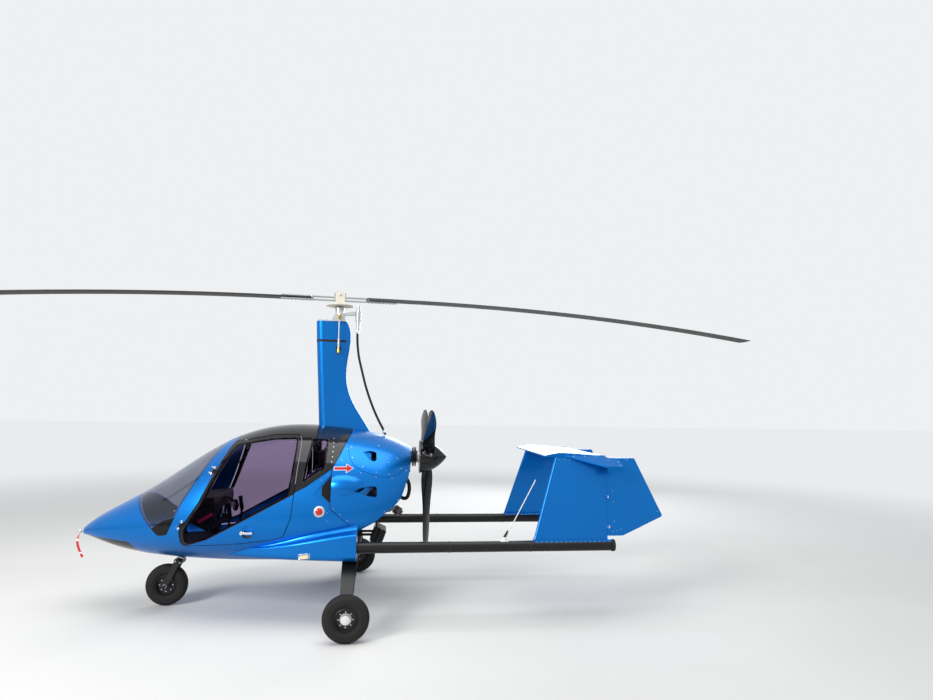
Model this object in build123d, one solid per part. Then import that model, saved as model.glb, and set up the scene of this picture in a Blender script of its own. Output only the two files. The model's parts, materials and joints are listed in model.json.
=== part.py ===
from build123d import *
import os
from math import cos, degrees, radians, sin, tan

os.makedirs("parts", exist_ok=True)

# Two-seat enclosed gyrocopter, standing on its wheels. Millimetres.
# +X aft, +Y starboard, +Z up, origin on the ground under the rotor hub.

# Body: side-on profile and widths at a few stations
BODY_STATIONS = [
    # x, half width, height of the widest line, bottom, top
    (-2160, 42, 657, 628, 686),
    (-2000, 167, 690, 578, 808),
    (-1700, 325, 720, 490, 978),
    (-1250, 520, 760, 437, 1277),
    (-750, 645, 800, 415, 1545),
    (-250, 678, 835, 408, 1614),
    (250, 650, 875, 415, 1565),
    (500, 560, 935, 480, 1503),
    (715, 340, 1060, 640, 1404),
]
NOSE_ROUND = 25
WALL = 22
PANE = 5
REBATE = 16
SEAL = 0.4
DOOR_GAP = 6
DOOR_FLANGE = 19
SKIN_MARGIN = 6
WIDE = 900
INNER_FIT = 0.5

# Panel outlines in side view, as x, z, corner radius
TUB_OUTLINE = [
    (-2250, 300, 0),
    (115, 300, 0),
    (115, 545, 0),
    (250, 545, 0),
    (250, 742, 0),
    (18, 938, 0),
    (18, 1252, 0),
    (-178, 1114, 0),
    (-500, 940, 0),
    (-900, 1360, 0),
    (-850, 1470, 0),
    (-790, 1760, 0),
    (-2250, 1760, 0),
]
ROOF_OUTLINE = [
    (-900, 1362, 0),
    (-848, 1470, 0),
    (-788, 1760, 0),
    (210, 1760, 0),
    (162, 1563, 0),
    (126, 1487, 0),
    (79, 1373, 0),
    (18, 1257, 0),
    (-178, 1118, 0),
    (-500, 943, 0),
]
COWL_OUTLINE = [
    (24, 1258, 0),
    (85, 1373, 0),
    (132, 1487, 0),
    (168, 1563, 0),
    (216, 1760, 0),
    (900, 1760, 0),
    (708, 1400, 20),
    (700, 1292, 90),
    (676, 1170, 200),
    (606, 979, 200),
    (384, 808, 300),
    (252, 745, 0),
    (24, 940, 0),
]
WINDSCREEN_OUTLINE = [
    (-1720, 1090, 0),
    (-1672, 985, 60),
    (-1545, 822, 120),
    (-1400, 688, 50),
    (-1315, 700, 40),
    (-1209, 949, 300),
    (-946, 1445, 0),
    (-930, 1600, 0),
]
DOOR_OUTLINE = [
    (-860, 1462, 30),
    (-958, 1235, 0),
    (-1060, 975, 200),
    (-1212, 735, 60),
    (-1195, 607, 50),
    (-713, 643, 0),
    (-449, 678, 60),
    (-352, 700, 70),
    (-290, 860, 120),
    (-272, 1080, 300),
    (-255, 1420, 200),
    (-268, 1540, 60),
    (-500, 1530, 400),
]
DOOR_WINDOW_OUTLINE = [
    (-826, 1442, 30),
    (-928, 1235, 0),
    (-1030, 985, 200),
    (-1170, 757, 60),
    (-1172, 614, 50),
    (-977, 678, 0),
    (-322, 1032, 14),
    (-300, 1166, 200),
    (-286, 1400, 200),
    (-290, 1508, 30),
    (-500, 1500, 400),
]
QUARTER_WINDOW_OUTLINE = [
    (-222, 1140, 12),
    (-36, 1262, 14),
    (-30, 1492, 14),
    (-170, 1500, 14),
]
CHIN_LENS_OUTLINE = [
    (-2060, 618, 10),
    (-1890, 592, 60),
    (-1715, 556, 30),
    (-1640, 400, 0),
    (-2060, 400, 0),
]
CHIN_LENS_HALF_WIDTH = 190

# Engine air: a sunk triangle in the tub ahead of a bulge on the cowling, and two flush ducts a side
INTAKE_OUTLINE = [
    (-128, 1046, 6),
    (24, 1222, 0),
    (24, 966, 0),
]
INTAKE_SINK = 8
BULGE_Z = 1095
BULGE_SUNK = 104
BULGE_WALL = 6
BULGE_PROFILE = [
    # x, radius about the bulge's own axis
    (20, 116),
    (130, 131),
    (360, 8),
]
DUCT_DEPTH = 44
DUCTS = [
    # outline in side view, with the ramp's front first
    [(270, 1388, 3), (340, 1398, 60), (388, 1384, 20), (394, 1306, 20), (340, 1318, 60)],
    [(196, 1082, 3), (330, 1112, 90), (400, 1108, 20), (408, 1016, 20), (330, 1032, 90)],
]
HATCH_OUTLINE = [
    (100, 1800, 0),
    (138, 1440, 0),
    (170, 1318, 160),
    (268, 1236, 200),
    (510, 1168, 190),
    (640, 1232, 200),
    (760, 1380, 0),
    (900, 1800, 0),
]
HATCH_GAP = 3

# Cabin
FLOOR_Z = 560
FLOOR_THICKNESS = 12
FIREWALL_X = 0
FIREWALL_THICKNESS = 12
FIREWALL_BASE = 432
SEAT_Y = 235
SEAT_WIDTH = 420
SEAT_BASE_Z = FLOOR_Z + FLOOR_THICKNESS + 0.3
SEAT_PROFILE = [
    # x, height above the floor, corner radius of the side profile
    (-840, 0, 20),
    (-330, 0, 60),
    (-60, 660, 30),
    (-125, 690, 30),
    (-410, 110, 60),
    (-820, 140, 40),
]
SEAT_BOLSTER = [
    (-815, 100, 20),
    (-380, 75, 40),
    (-150, 560, 30),
    (-205, 600, 20),
    (-430, 165, 60),
    (-800, 180, 30),
]
BOLSTER_WIDTH = 48
HEAD_REST = [
    (-122, 640, 6),
    (-62, 640, 6),
    (-50, 820, 22),
    (-104, 832, 22),
]
HEAD_REST_WIDTH = 230
PEDAL_X = -1400
PEDAL_Y = (165, 275)
PEDAL_WIDTH = 62
PEDAL = [
    # x from the pedal's foot, height above the floor
    (0, 0, 0),
    (30, 0, 0),
    (14, 40, 10),
    (-34, 140, 4),
    (-46, 136, 4),
    (2, 36, 10),
]
PANEL_X = -1010
PANEL_WIDTH = 700
PANEL_PROFILE = [
    # x from the panel's face, z, corner radius
    (-20, 690, 8),
    (0, 690, 8),
    (35, 930, 30),
    (20, 990, 20),
    (-180, 965, 40),
    (-330, 860, 6),
    (-320, 845, 6),
    (-180, 940, 40),
    (5, 960, 12),
    (14, 930, 20),
]
PEDESTAL_HALF = 70
STICK_X = -900
STICK_DIAMETER = 28
STICK_TOP = 800

# Doors: the hinge line runs up the windscreen pillar
HINGE_LOW = (-1194, 556, 793)
HINGE_HIGH = (-975, 470, 1228)
HINGE_PIN = 4
HINGE_BARREL = 9
HINGE_BARREL_HALF = 18
HINGE_LUG_OUT = 26
HINGE_LUG = 10
HINGE_REACH = 42
HINGE_SINK = 26
PIN_FIT = 0.05
REST = 0.3
HANDLE_AT = (-640, 742)
HANDLE_HALF = 42
HANDLE_BALL = 110
HANDLE_RECESS = 10

# Sponsons
SPONSON_STATIONS = [
    # x, outer y, bottom z, crease z, shoulder y, shoulder z, top y, top z, shoulder radius
    (-820, 470, 520, 600, 465, 603, 460, 640, 4),
    (-450, 640, 523, 625, 600, 632, 622, 690, 14),
    (-100, 735, 526, 690, 652, 706, 652, 800, 50),
    (250, 770, 520, 742, 650, 764, 636, 850, 60),
]
SPONSON_INNER_Y = 300
SPONSON_CORNER = 46
SPONSON_CREASE = 20

# Main gear
TYRE_RADIUS = 180
TYRE_WIDTH = 100
RIM_RADIUS = 88
RIM_FIT = 0.3
TRACK_HALF = 1077
MAIN_AXLE_X = 200
NOSE_AXLE_X = -1440
AXLE_RADIUS = 12.5
AXLE_FIT = 0.05
BRAKE_DISC = (60, 56, 72)
CALLIPER = [
    # x from the axle, y inwards from the wheel's middle, half height
    ((20, 84), (67, 75), 14),
    ((50, 86), (62, 73), 24),
    ((50, 86), (48, 54), 24),
    ((75, 86), (48, 73), 24),
]
BOW_Z = 505
BOW_THICKNESS = 34
LEG_Y = 985
BOW_CHORD = [
    # z, front x, rear x
    (100, 150, 224),
    (286, 142, 237),
    (545, 134, 258),
]

# Nose leg
STEER_PIVOT = (-1335, 0, 400)
STEER_RAKE = 20
STEM_RADIUS = 20
FORK_Y = 62
FORK_THICKNESS = 9
STEM_FIT = 0.05
NOSE_AXLE_HALF = 92
TOW_BORE_RADIUS = 7

# Booms and tail
BOOM_Y = 709
BOOM_Z = 627
BOOM_RADIUS = 45
BOOM_WALL = 3
BOOM_START = 40
BOOM_END = 2444
BOOM_FIT = 0.05
BOOM_RING = 4
BOOM_RING_WIDTH = 26
FIN_BASE_Z = 676
FIN_TOP_Z = 1369.7
FIN_TOP_Y = 600
FIN_BASE_FRONT = 1735
FIN_TOP_FRONT = 1950
HINGE_X_BASE = 2395
HINGE_X_TOP = 2410
FIN_THICKNESS = 38
RUDDER_GAP = 6
RUDDER_OUTLINE = [
    # x, z, corner radius
    (2300, 1362, 0),
    (2668, 1362, 12),
    (2896, 866, 18),
    (2520, 708, 30),
    (2300, 708, 0),
]
RUDDER_HINGES = (780, 1035, 1290)
RUDDER_LUG = 9
RUDDER_PIN_HALF = 30
STAB_Z = 1370
STAB_THICKNESS = 30
STAB_FRONT = 1855
STAB_REAR = 2402
STAB_TIP_Y = 800
STAB_TIP_DROP = 92
STAB_LIP_BASE = 1253
STAB_LIP_TOP = 1298

# Mast and rotor
MAST_STATIONS = [
    # z, front x, rear x, width
    (1480, -152, 345, 150),
    (1640, -160, 262, 134),
    (1854, -172, 134, 122),
    (2150, -190, 82, 120),
    (2586, -213, 72, 120),
]
MAST_SEAM = 0.4
MAST_SLOT = [
    (4, 2258, 16),
    (25, 2330, 60),
    (4, 2404, 16),
    (-17, 2330, 60),
]
MAST_SLOT_DEEP_Y = 24
ROTOR_RADIUS = 4400
ROTOR_AZIMUTH = 6.5
BLADE_CHORD = 200
BLADE_THICKNESS = 19
BLADE_Z = 2805
BLADE_ROOT = 250
BLADE_STRAIGHT = 560
BLADE_DROOP = 245
HUB_BAR_HALF = 545
HUB_BAR_WIDTH = 62
HUB_BAR_PLATE = 8
HUB_BAR_SPACE = 22.5
TEETER_Z = 2842
TEETER_RADIUS = 8
TOWER_PLATE = 10
TOWER_PLATE_OUTLINE = [
    (-62, 2735, 0),
    (62, 2735, 0),
    (62, 2752, 8),
    (44, 2776, 20),
    (42, 2871, 14),
    (-42, 2871, 14),
    (-44, 2776, 20),
    (-62, 2752, 8),
]
RING_Z = 2735
RING_TEETH = 72
RING_TOOTH = [
    # share of a tooth's pitch, radius
    (0.0, 122.5),
    (0.3, 122.5),
    (0.45, 128),
    (0.85, 128),
]
RING_THICKNESS = 7
SPINDLE_RADIUS = 16
HEAD_TOP = 2722
HEAD_BASE = 2650
ROD_X = 4
ROD_Y = 82
ROD_RADIUS = 6
ROD_PIN = 8
ROD_FOOT_Z = 2290
ROD_HEAD_Z = 2640
PREROTATOR_X = 176
PREROTATOR_RADIUS = 25
PREROTATOR_STEPS = [
    # radius, z from, z to
    (18, 2507, 2640),
    (29, 2600, 2612),
    (29, 2640, 2648),
    (19, 2699, 2722),
    (10, 2720, 2734),
    (16, 2733, 2747),
]
HEAD_CAP_PLATE = [
    # x, height above the mast, corner radius
    (-196, 0, 0),
    (66, 0, 0),
    (66, 10, 4),
    (-196, 10, 4),
]
HEAD_CHEEK = [
    (-70, 2596, 0),
    (62, 2596, 0),
    (30, 2676, 14),
    (-30, 2676, 14),
]
HEAD_BLOCK = [
    (-30, 2596, 0),
    (30, 2596, 0),
    (36, 2650, 8),
    (-36, 2650, 8),
]
HEAD_PIVOT_Z = 2660
HEAD_HOUSING = [
    # radius, z
    (0, 2640),
    (50, 2640),
    (50, 2655),
    (42, 2662),
    (42, 2702),
    (47, 2706),
    (47, 2716),
    (40, 2722),
    (0, 2722),
]
HEAD_BRACKET = [
    (30, 2645, 0),
    (150.7, 2650, 0),
    (150.7, 2690, 12),
    (30, 2666, 0),
]

# Propeller
PROP_Z = 1320
PROP_X = 862
SPINNER_FRONT = 788
SPINNER_TIP = 1046
SPINNER_RADIUS = 153
SPINNER_WALL = 4
SPINNER_WINDOW = 61
PROP_HUB_RADIUS = 74
PROP_SHAFT_RADIUS = 34
PROP_SHANK_RADIUS = 27
PROP_BLADE_SECTIONS = [
    # radius, chord, pitch in degrees, thickness
    (110, 96, 68, 34),
    (300, 130, 52, 22),
    (560, 112, 38, 15),
    (835, 66, 29, 7),
    (858, 34, 28, 4),
]
PROP_BLADES = 3
GEARBOX_FRONT = 600
GEARBOX_REAR = 764
DRIVE_FLANGE = (771, 781, 60)
ENGINE_FRONT = 160
CRANKCASE = [
    # y, z, corner radius of the cross-section
    (-50, 1112, 20),
    (-98, 1150, 20),
    (-118, 1215, 12),
    (-72, 1332, 30),
    (72, 1332, 30),
    (118, 1215, 12),
    (98, 1150, 20),
    (50, 1112, 20),
]
PORT_X = (ENGINE_FRONT + 125, ENGINE_FRONT + 305)
PORT_Y = 215
PORT_RADIUS = 17
CYLINDER_Z = 1212
BARREL_RADIUS = 47
COOLING_FIN = [(-57, -57), (57, -57), (57, 57), (-57, 57)]
COOLING_FIN_THICKNESS = 4
FIN_COUNT = 5
FIN_PITCH = 14
HEAD_IN_Y = 192
HEAD_BASE_Z = 1152
CYLINDER_HEAD = [
    # half length, z low, z high, y inner, y outer, corner radius
    (60, HEAD_BASE_Z, 1272, HEAD_IN_Y, 244, 10),
    (50, 1166, 1258, 243, 280, 22),
]
GEARBOX_STEPS = [
    # x from, x to, z, radius
    (GEARBOX_FRONT + REST, 640, 1222, 92),
    (GEARBOX_FRONT + REST, 640, 1300, 92),
    (630, 700, 1242, 70),
    (630, 700, PROP_Z, 62),
    (699, 722, PROP_Z, 56),
    (721, GEARBOX_REAR - 14, PROP_Z, 46),
    (GEARBOX_REAR - 15, GEARBOX_REAR, PROP_Z, 56),
]
CARB_Y = 196
CARB_RODS = [
    # start x and z, end x and z, radius
    ((PORT_X[0], 1272 + REST), (PORT_X[0], 1318), 18),
    ((PORT_X[1], 1272 + REST), (PORT_X[1], 1318), 18),
    ((PORT_X[0] - 18, 1318), (512, 1318), 19),
    ((508, 1318), (518, 1318), 30),
    ((516, 1318), (590, 1318), 25),
    ((554, 1325), (554, 1258), 22),
    ((589, 1318), (655, 1318), 38),
]
MOUNT_BARS = [
    # y and z at the firewall, y and z at the engine
    ((220, 1000), (85, 1152)),
    ((220, 1380), (70, 1290)),
]
MUFFLER_X = 500
MUFFLER_Z = 900
MUFFLER_WALL = 3
MUFFLER_PROFILE = [
    # radius, y
    (0, -240),
    (40, -240),
    (62, -222),
    (62, 222),
    (40, 240),
    (0, 240),
]
MUFFLER_SPACE = [
    (0, -237),
    (38, -237),
    (59, -220),
    (59, 220),
    (38, 237),
    (0, 237),
]
TAIL_PIPE = ((MUFFLER_X + 20, -150, MUFFLER_Z - 10), (MUFFLER_X + 122, -196, MUFFLER_Z - 74))
TAIL_RADIUS = 26
COOLER_OUTLINE = [
    (350, 600, 8),
    (440, 560, 8),
    (490, 690, 8),
    (400, 730, 8),
]
COOLER_ARM_Z = 655

# Small outside pieces
ANTENNA_X = 1483
ANTENNA_TIP = (1785, -560, 1162)
ANTENNA_FOOT = 22
PITOT_Z = 657
PITOT_TIP_X = -2204
PITOT_RADIUS = 8
CAP_AT = (-66, 914)
CAP_OUT_Y = 686
CAP_RADIUS = 55
NAV_LAMP = [
    (-205, 548, 8),
    (-130, 556, 8),
    (-130, 580, 8),
    (-205, 574, 8),
]
RIBBON_LINE = [(-2190, 648.6), (-2214, 540), (-2160, 428)]
RIBBON_WIDTH = 28
RIBBON_THICKNESS = 2.4

SIDES = [("left", -1), ("right", 1)]


def save(node, *solids):
    """Write one sub-part."""
    shape = solids[0] if len(solids) == 1 else Compound(children=list(solids))
    export_step(shape, f"parts/{node}.step")


def body_loft(grow):
    """The body's outer form, each section moved out by grow."""
    faces = []
    for x, half_width, belt, bottom, top in BODY_STATIONS:
        if x == BODY_STATIONS[0][0]:
            x = x - grow
        upper = EllipticalCenterArc((0, 0), half_width + grow, top - belt + grow, start_angle=0, arc_size=180)
        lower = EllipticalCenterArc((0, 0), half_width + grow, belt - bottom + grow, start_angle=180, arc_size=180)
        plane = Plane(origin=(x, 0, belt), x_dir=(0, 1, 0), z_dir=(1, 0, 0))
        faces.append(plane.location * Face(Wire([upper, lower])))
    return loft(faces)


def side_prism(outline, y_from, y_to, grow=0):
    """A side-view outline pushed across the body from one Y to another."""
    points = [(x, y_from, z) for x, z, _ in outline]
    wire = FilletPolyline(*points, radius=[r for _, _, r in outline], close=True)
    face = make_face(wire)
    if grow:
        face = offset(face, amount=grow, kind=Kind.INTERSECTION)
    return extrude(face, amount=y_to - y_from, dir=(0, 1, 0))


def mirrored(shape, side):
    """The port-side shape, or its mirror image to starboard."""
    return shape if side < 0 else shape.mirror(Plane.XZ)


def box_between(low, high):
    """A block from its two opposite corners."""
    size = [b - a for a, b in zip(low, high)]
    middle = [(a + b) / 2 for a, b in zip(low, high)]
    return Pos(*middle) * Box(*size)


def rod(start, end, radius):
    """A round bar between two points."""
    start, end = Vector(*start), Vector(*end)
    plane = Plane(origin=start, z_dir=end - start)
    return plane.location * Cylinder(radius, (end - start).length, align=(Align.CENTER, Align.CENTER, Align.MIN))


def revolve_about_y(profile, x, z):
    """A profile of radius and y turned about the axle line at x, z."""
    points = [(x + r, y, z) for r, y in profile]
    face = make_face(Polyline(*points, close=True))
    return revolve(face, Axis((x, 0, z), (0, 1, 0)), 360)


outer = body_loft(0)
nose_edges = outer.faces().sort_by(Axis.X)[0].edges()
outer = fillet(nose_edges, NOSE_ROUND)
inner = body_loft(-WALL)
skin = outer - inner
above = body_loft(SKIN_MARGIN)
pane_inner = body_loft(-PANE)
seat_inner = body_loft(-PANE - SEAL)
pane_shell = outer - pane_inner
rebate_layer = above - seat_inner
cabin_space = body_loft(-WALL - INNER_FIT)


def window_cut(outline, y_from, y_to):
    """Opening for a flush pane: full size in the outer layer, smaller below it."""
    seat = rebate_layer & side_prism(outline, y_from, y_to)
    return seat, side_prism(outline, y_from, y_to, -REBATE)


def pane(outline, y_from, y_to):
    """The flush pane of a window."""
    return pane_shell & side_prism(outline, y_from, y_to, -SEAL)


def side_y(x, z):
    """Where the port side's skin stands in side view."""
    return (Line((x, -WIDE, z), (x, 0, z)) & outer).bounding_box().min.Y


def beyond(points):
    """All the space to port of the plane through three points."""
    first, second, third = [Vector(*point) for point in points]
    across = (second - first).cross(third - first)
    if across.Y > 0:
        across = across * -1
    return Plane(origin=first, z_dir=across).location * Box(
        2 * WIDE, 2 * WIDE, WIDE, align=(Align.CENTER, Align.CENTER, Align.MIN)
    )


intake_points = []
for (x, z, _), sink in zip(INTAKE_OUTLINE, (0, INTAKE_SINK, INTAKE_SINK)):
    intake_points.append((x, side_y(x, z) + sink, z))
intake_sink = side_prism(INTAKE_OUTLINE, -WIDE, 0) & beyond(intake_points)
duct_cuts = []
for outline in DUCTS:
    ramp = []
    for (x, z, _), sink in zip((outline[0], outline[2], outline[3]), (0, DUCT_DEPTH, DUCT_DEPTH)):
        ramp.append((x, side_y(x, z) + sink, z))
    duct_cuts.append(side_prism(outline, -WIDE, 0) & beyond(ramp))


def bulge_spindle(thinner):
    """The round blister behind the intake, made thinner all round."""
    (x_mouth, r_mouth), (x_peak, r_peak), (x_end, r_end) = BULGE_PROFILE
    y = side_y(x_peak, BULGE_Z) + BULGE_SUNK
    arc = ThreePointArc(
        (x_mouth, y - r_mouth + thinner, BULGE_Z),
        (x_peak, y - r_peak + thinner, BULGE_Z),
        (x_end - 4 * thinner, y - r_end, BULGE_Z),
    )
    closing = Polyline((x_end - 4 * thinner, y - r_end, BULGE_Z), (x_end - 4 * thinner, y, BULGE_Z),
                       (x_mouth, y, BULGE_Z), (x_mouth, y - r_mouth + thinner, BULGE_Z))
    return revolve(make_face(arc + closing), Axis((0, y, BULGE_Z), (1, 0, 0)), 360)


# Tub, roof and engine cowling
windscreen_seat, windscreen_hole = window_cut(WINDSCREEN_OUTLINE, -WIDE, WIDE)
chin_seat, chin_hole = window_cut(CHIN_LENS_OUTLINE, -CHIN_LENS_HALF_WIDTH, CHIN_LENS_HALF_WIDTH)
door_holes = [side_prism(DOOR_OUTLINE, -WIDE, -60), side_prism(DOOR_OUTLINE, 60, WIDE)]
tub = skin & side_prism(TUB_OUTLINE, -WIDE, WIDE)
tub = tub - windscreen_seat - windscreen_hole - chin_seat
for side in (-1, 1):
    tub = tub - mirrored(intake_sink, side)
for hole in door_holes:
    tub = tub - hole

roof = skin & side_prism(ROOF_OUTLINE, -WIDE, WIDE)
for hole in door_holes:
    roof = roof - hole
quarter_windows = []
for y_from, y_to in [(-WIDE, -60), (60, WIDE)]:
    seat, hole = window_cut(QUARTER_WINDOW_OUTLINE, y_from, y_to)
    roof = roof - seat - hole
    quarter_windows.append(pane(QUARTER_WINDOW_OUTLINE, y_from, y_to))

cowl_reach = side_prism(COWL_OUTLINE, -WIDE, WIDE)
cowl = skin & cowl_reach
hatch = cowl & side_prism(HATCH_OUTLINE, -WIDE, WIDE)
cowl = cowl - side_prism(HATCH_OUTLINE, -WIDE, WIDE, HATCH_GAP)
bulge_outside = bulge_spindle(0) & cowl_reach
bulge_inside = bulge_spindle(BULGE_WALL)
for side in (-1, 1):
    cowl = cowl + mirrored(bulge_outside, side)
    cowl = cowl - mirrored(bulge_inside, side) - mirrored(duct_cuts[1], side)
    hatch = hatch - mirrored(duct_cuts[0], side)
save("engine_hatch", hatch)

save("windscreen", pane(WINDSCREEN_OUTLINE, -WIDE, WIDE))
save("chin_lens", pane(CHIN_LENS_OUTLINE, -CHIN_LENS_HALF_WIDTH + SEAL, CHIN_LENS_HALF_WIDTH - SEAL))
save("quarter_windows", *quarter_windows)
save("cabin_roof", roof)
save("engine_cowling", cowl)

# Cabin inside
floor_box = box_between((-1600, -WIDE, FLOOR_Z), (FIREWALL_X - FIREWALL_THICKNESS, WIDE, FLOOR_Z + FLOOR_THICKNESS))
save("cabin_floor", cabin_space & floor_box)
firewall_box = box_between((FIREWALL_X - FIREWALL_THICKNESS, -WIDE, FIREWALL_BASE), (FIREWALL_X, WIDE, 1700))
save("firewall", cabin_space & firewall_box)

seats = []
for name, side in SIDES:
    middle = side * SEAT_Y
    widths = [(SEAT_PROFILE, SEAT_WIDTH / 2, 0), (HEAD_REST, HEAD_REST_WIDTH / 2, 0)]
    widths += [(SEAT_BOLSTER, BOLSTER_WIDTH / 2, end * (SEAT_WIDTH - BOLSTER_WIDTH) / 2) for end in (-1, 1)]
    seat = None
    for profile, half_width, shift in widths:
        outline = [(x, SEAT_BASE_Z + height, r) for x, height, r in profile]
        slab = side_prism(outline, middle + shift - half_width, middle + shift + half_width)
        seat = slab if seat is None else seat + slab
    seats.append(seat)
save("seats", *seats)

panel_outline = [(PANEL_X + x, z, r) for x, z, r in PANEL_PROFILE]
panel_pod = side_prism(panel_outline, -PANEL_WIDTH / 2, PANEL_WIDTH / 2)
pedestal = box_between(
    (PANEL_X - 60, -PEDESTAL_HALF, FLOOR_Z + FLOOR_THICKNESS + REST), (PANEL_X - 5, PEDESTAL_HALF, 720)
)
save("instrument_panel", panel_pod + pedestal)

sticks = []
for name, side in SIDES:
    floor_top = FLOOR_Z + FLOOR_THICKNESS + REST
    foot = (STICK_X, side * SEAT_Y, floor_top)
    boot = (STICK_X, side * SEAT_Y, floor_top + 30)
    head = (STICK_X + 30, side * SEAT_Y, STICK_TOP)
    tip = (STICK_X + 10, side * SEAT_Y, STICK_TOP + 120)
    stick = rod(foot, boot, 34) + rod(boot, head, STICK_DIAMETER / 3) + rod(head, tip, STICK_DIAMETER / 2)
    sticks.append(stick)
    for y in PEDAL_Y:
        outline = [(PEDAL_X + x, floor_top + height, r) for x, height, r in PEDAL]
        sticks.append(side_prism(outline, side * y - PEDAL_WIDTH / 2, side * y + PEDAL_WIDTH / 2))
save("control_sticks", *sticks)

# Door hinges, port side: pins between lugs on the pillar, barrels on arms of the door
body_clear = body_loft(SEAL)
hinge_low = Vector(HINGE_LOW[0], -HINGE_LOW[1], HINGE_LOW[2])
hinge_high = Vector(HINGE_HIGH[0], -HINGE_HIGH[1], HINGE_HIGH[2])
hinge_line = (hinge_high - hinge_low).normalized()
hinge_aft = (Vector(1, 0, 0) - hinge_line * hinge_line.X).normalized()
hinge_out = hinge_aft.cross(hinge_line)


def strap(start, end, width, thickness):
    """A flat bar between two points, its width along the hinge line."""
    plane = Plane(origin=(start + end) * 0.5, x_dir=end - start, z_dir=hinge_line)
    return plane.location * Box((end - start).length + thickness, thickness, width)


door_arms, door_lugs = [], []
for centre in (hinge_low, hinge_high):
    bend = centre + hinge_aft * HINGE_REACH - hinge_out * 4
    arm_end = centre + hinge_aft * (HINGE_REACH + 20) - hinge_out * HINGE_SINK
    bore = rod(centre - hinge_line * 60, centre + hinge_line * 60, HINGE_PIN + PIN_FIT)
    barrel = rod(centre - hinge_line * HINGE_BARREL_HALF, centre + hinge_line * HINGE_BARREL_HALF, HINGE_BARREL)
    arm = barrel + strap(centre, bend, 1.6 * HINGE_BARREL_HALF, 5) + strap(bend, arm_end, 1.6 * HINGE_BARREL_HALF, 5)
    door_arms.append(arm - bore)
    lugs = rod(centre - hinge_line * (HINGE_LUG_OUT + 8), centre + hinge_line * (HINGE_LUG_OUT + 8), HINGE_PIN)
    for end in (-1, 1):
        root = centre + hinge_line * end * HINGE_LUG_OUT
        lugs = lugs + strap(root + hinge_out * 4, root - hinge_aft * 26 - hinge_out * 32, HINGE_LUG, 14)
    door_lugs.append(lugs - body_clear)
save("door_hinges", *[mirrored(lug, side) for name, side in SIDES for lug in door_lugs])

# Doors
handle_x, handle_z = HANDLE_AT
handle_y = side_y(handle_x, handle_z)
handle_recess = Pos(handle_x, handle_y - HANDLE_BALL + HANDLE_RECESS, handle_z) * Sphere(HANDLE_BALL)
handle = Pos(handle_x - HANDLE_HALF, handle_y + 3, handle_z) * Cylinder(11, 20, rotation=(90, 0, 0))
handle = handle + Pos(handle_x, handle_y - 5, handle_z) * Box(2 * HANDLE_HALF, 6, 15)
for name, side in SIDES:
    y_from, y_to = (-WIDE, -60) if side < 0 else (60, WIDE)
    door = pane_shell & side_prism(DOOR_OUTLINE, y_from, y_to, -DOOR_GAP)
    door = door + (skin & side_prism(DOOR_OUTLINE, y_from, y_to, -DOOR_FLANGE))
    for arm in door_arms:
        door = door + mirrored(arm, side)
    seat, hole = window_cut(DOOR_WINDOW_OUTLINE, y_from, y_to)
    door = door - seat - hole - mirrored(handle_recess, side) + mirrored(handle, side)
    save(f"{name}_door", door)
    save(f"{name}_door_window", pane(DOOR_WINDOW_OUTLINE, y_from, y_to))

# Sponsons, cut to the body's side, with sockets for the booms
bow_slot = box_between(
    (BOW_CHORD[-1][1] - 10, -WIDE, 0), (BOW_CHORD[-1][2] + 20, WIDE, BOW_Z + BOW_THICKNESS / 2 + REST)
)
for name, side in SIDES:
    faces = []
    for x, y_out, z_low, z_crease, y_shoulder, z_shoulder, y_top, z_top, r_shoulder in SPONSON_STATIONS:
        points = [
            (x, -SPONSON_INNER_Y, z_low),
            (x, -y_out, z_low),
            (x, -y_out + 4, z_crease),
            (x, -y_shoulder, z_shoulder),
            (x, -y_top, z_top),
            (x, -SPONSON_INNER_Y, z_top),
        ]
        radii = [0, min(SPONSON_CORNER, (z_crease - z_low) * 0.45), min(SPONSON_CREASE, r_shoulder), r_shoulder, 0, 0]
        faces.append(make_face(FilletPolyline(*points, radius=radii, close=True)))
    sponson = loft(faces) - body_clear
    socket = rod((BOOM_START, -BOOM_Y, BOOM_Z), (300, -BOOM_Y, BOOM_Z), BOOM_RADIUS + BOOM_FIT)
    sponson_solid = sponson - socket - bow_slot
    save(f"sponson_{name}", mirrored(sponson_solid, side))

# Booms
for name, side in SIDES:
    tube = rod((BOOM_START, side * BOOM_Y, BOOM_Z), (BOOM_END, side * BOOM_Y, BOOM_Z), BOOM_RADIUS)
    tube = tube + rod(
        (BOOM_END - BOOM_RING_WIDTH, side * BOOM_Y, BOOM_Z), (BOOM_END, side * BOOM_Y, BOOM_Z), BOOM_RADIUS + BOOM_RING
    )
    tube = tube - rod(
        (BOOM_START - 1, side * BOOM_Y, BOOM_Z), (BOOM_END + 1, side * BOOM_Y, BOOM_Z), BOOM_RADIUS - BOOM_WALL
    )
    save(f"boom_{name}", tube)

# Main gear bow
bow_path = [
    (-LEG_Y, 130),
    (-LEG_Y, 262),
    (-640, BOW_Z),
    (640, BOW_Z),
    (LEG_Y, 262),
    (LEG_Y, 130),
]
bow_plane = Plane(origin=(60, 0, 0), x_dir=(0, 1, 0), z_dir=(1, 0, 0))
flat_line = FilletPolyline(*bow_path, radius=[70, 170, 170, 70])
bow_face = trace(flat_line, BOW_THICKNESS)
bow = extrude(bow_plane.location * bow_face, amount=260, dir=(1, 0, 0))
chord_points = [(front, z, 0) for z, front, rear in BOW_CHORD]
chord_points += [(rear, z, 0) for z, front, rear in reversed(BOW_CHORD)]
save("main_gear_bow", bow & side_prism(chord_points, -1200, 1200))

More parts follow.
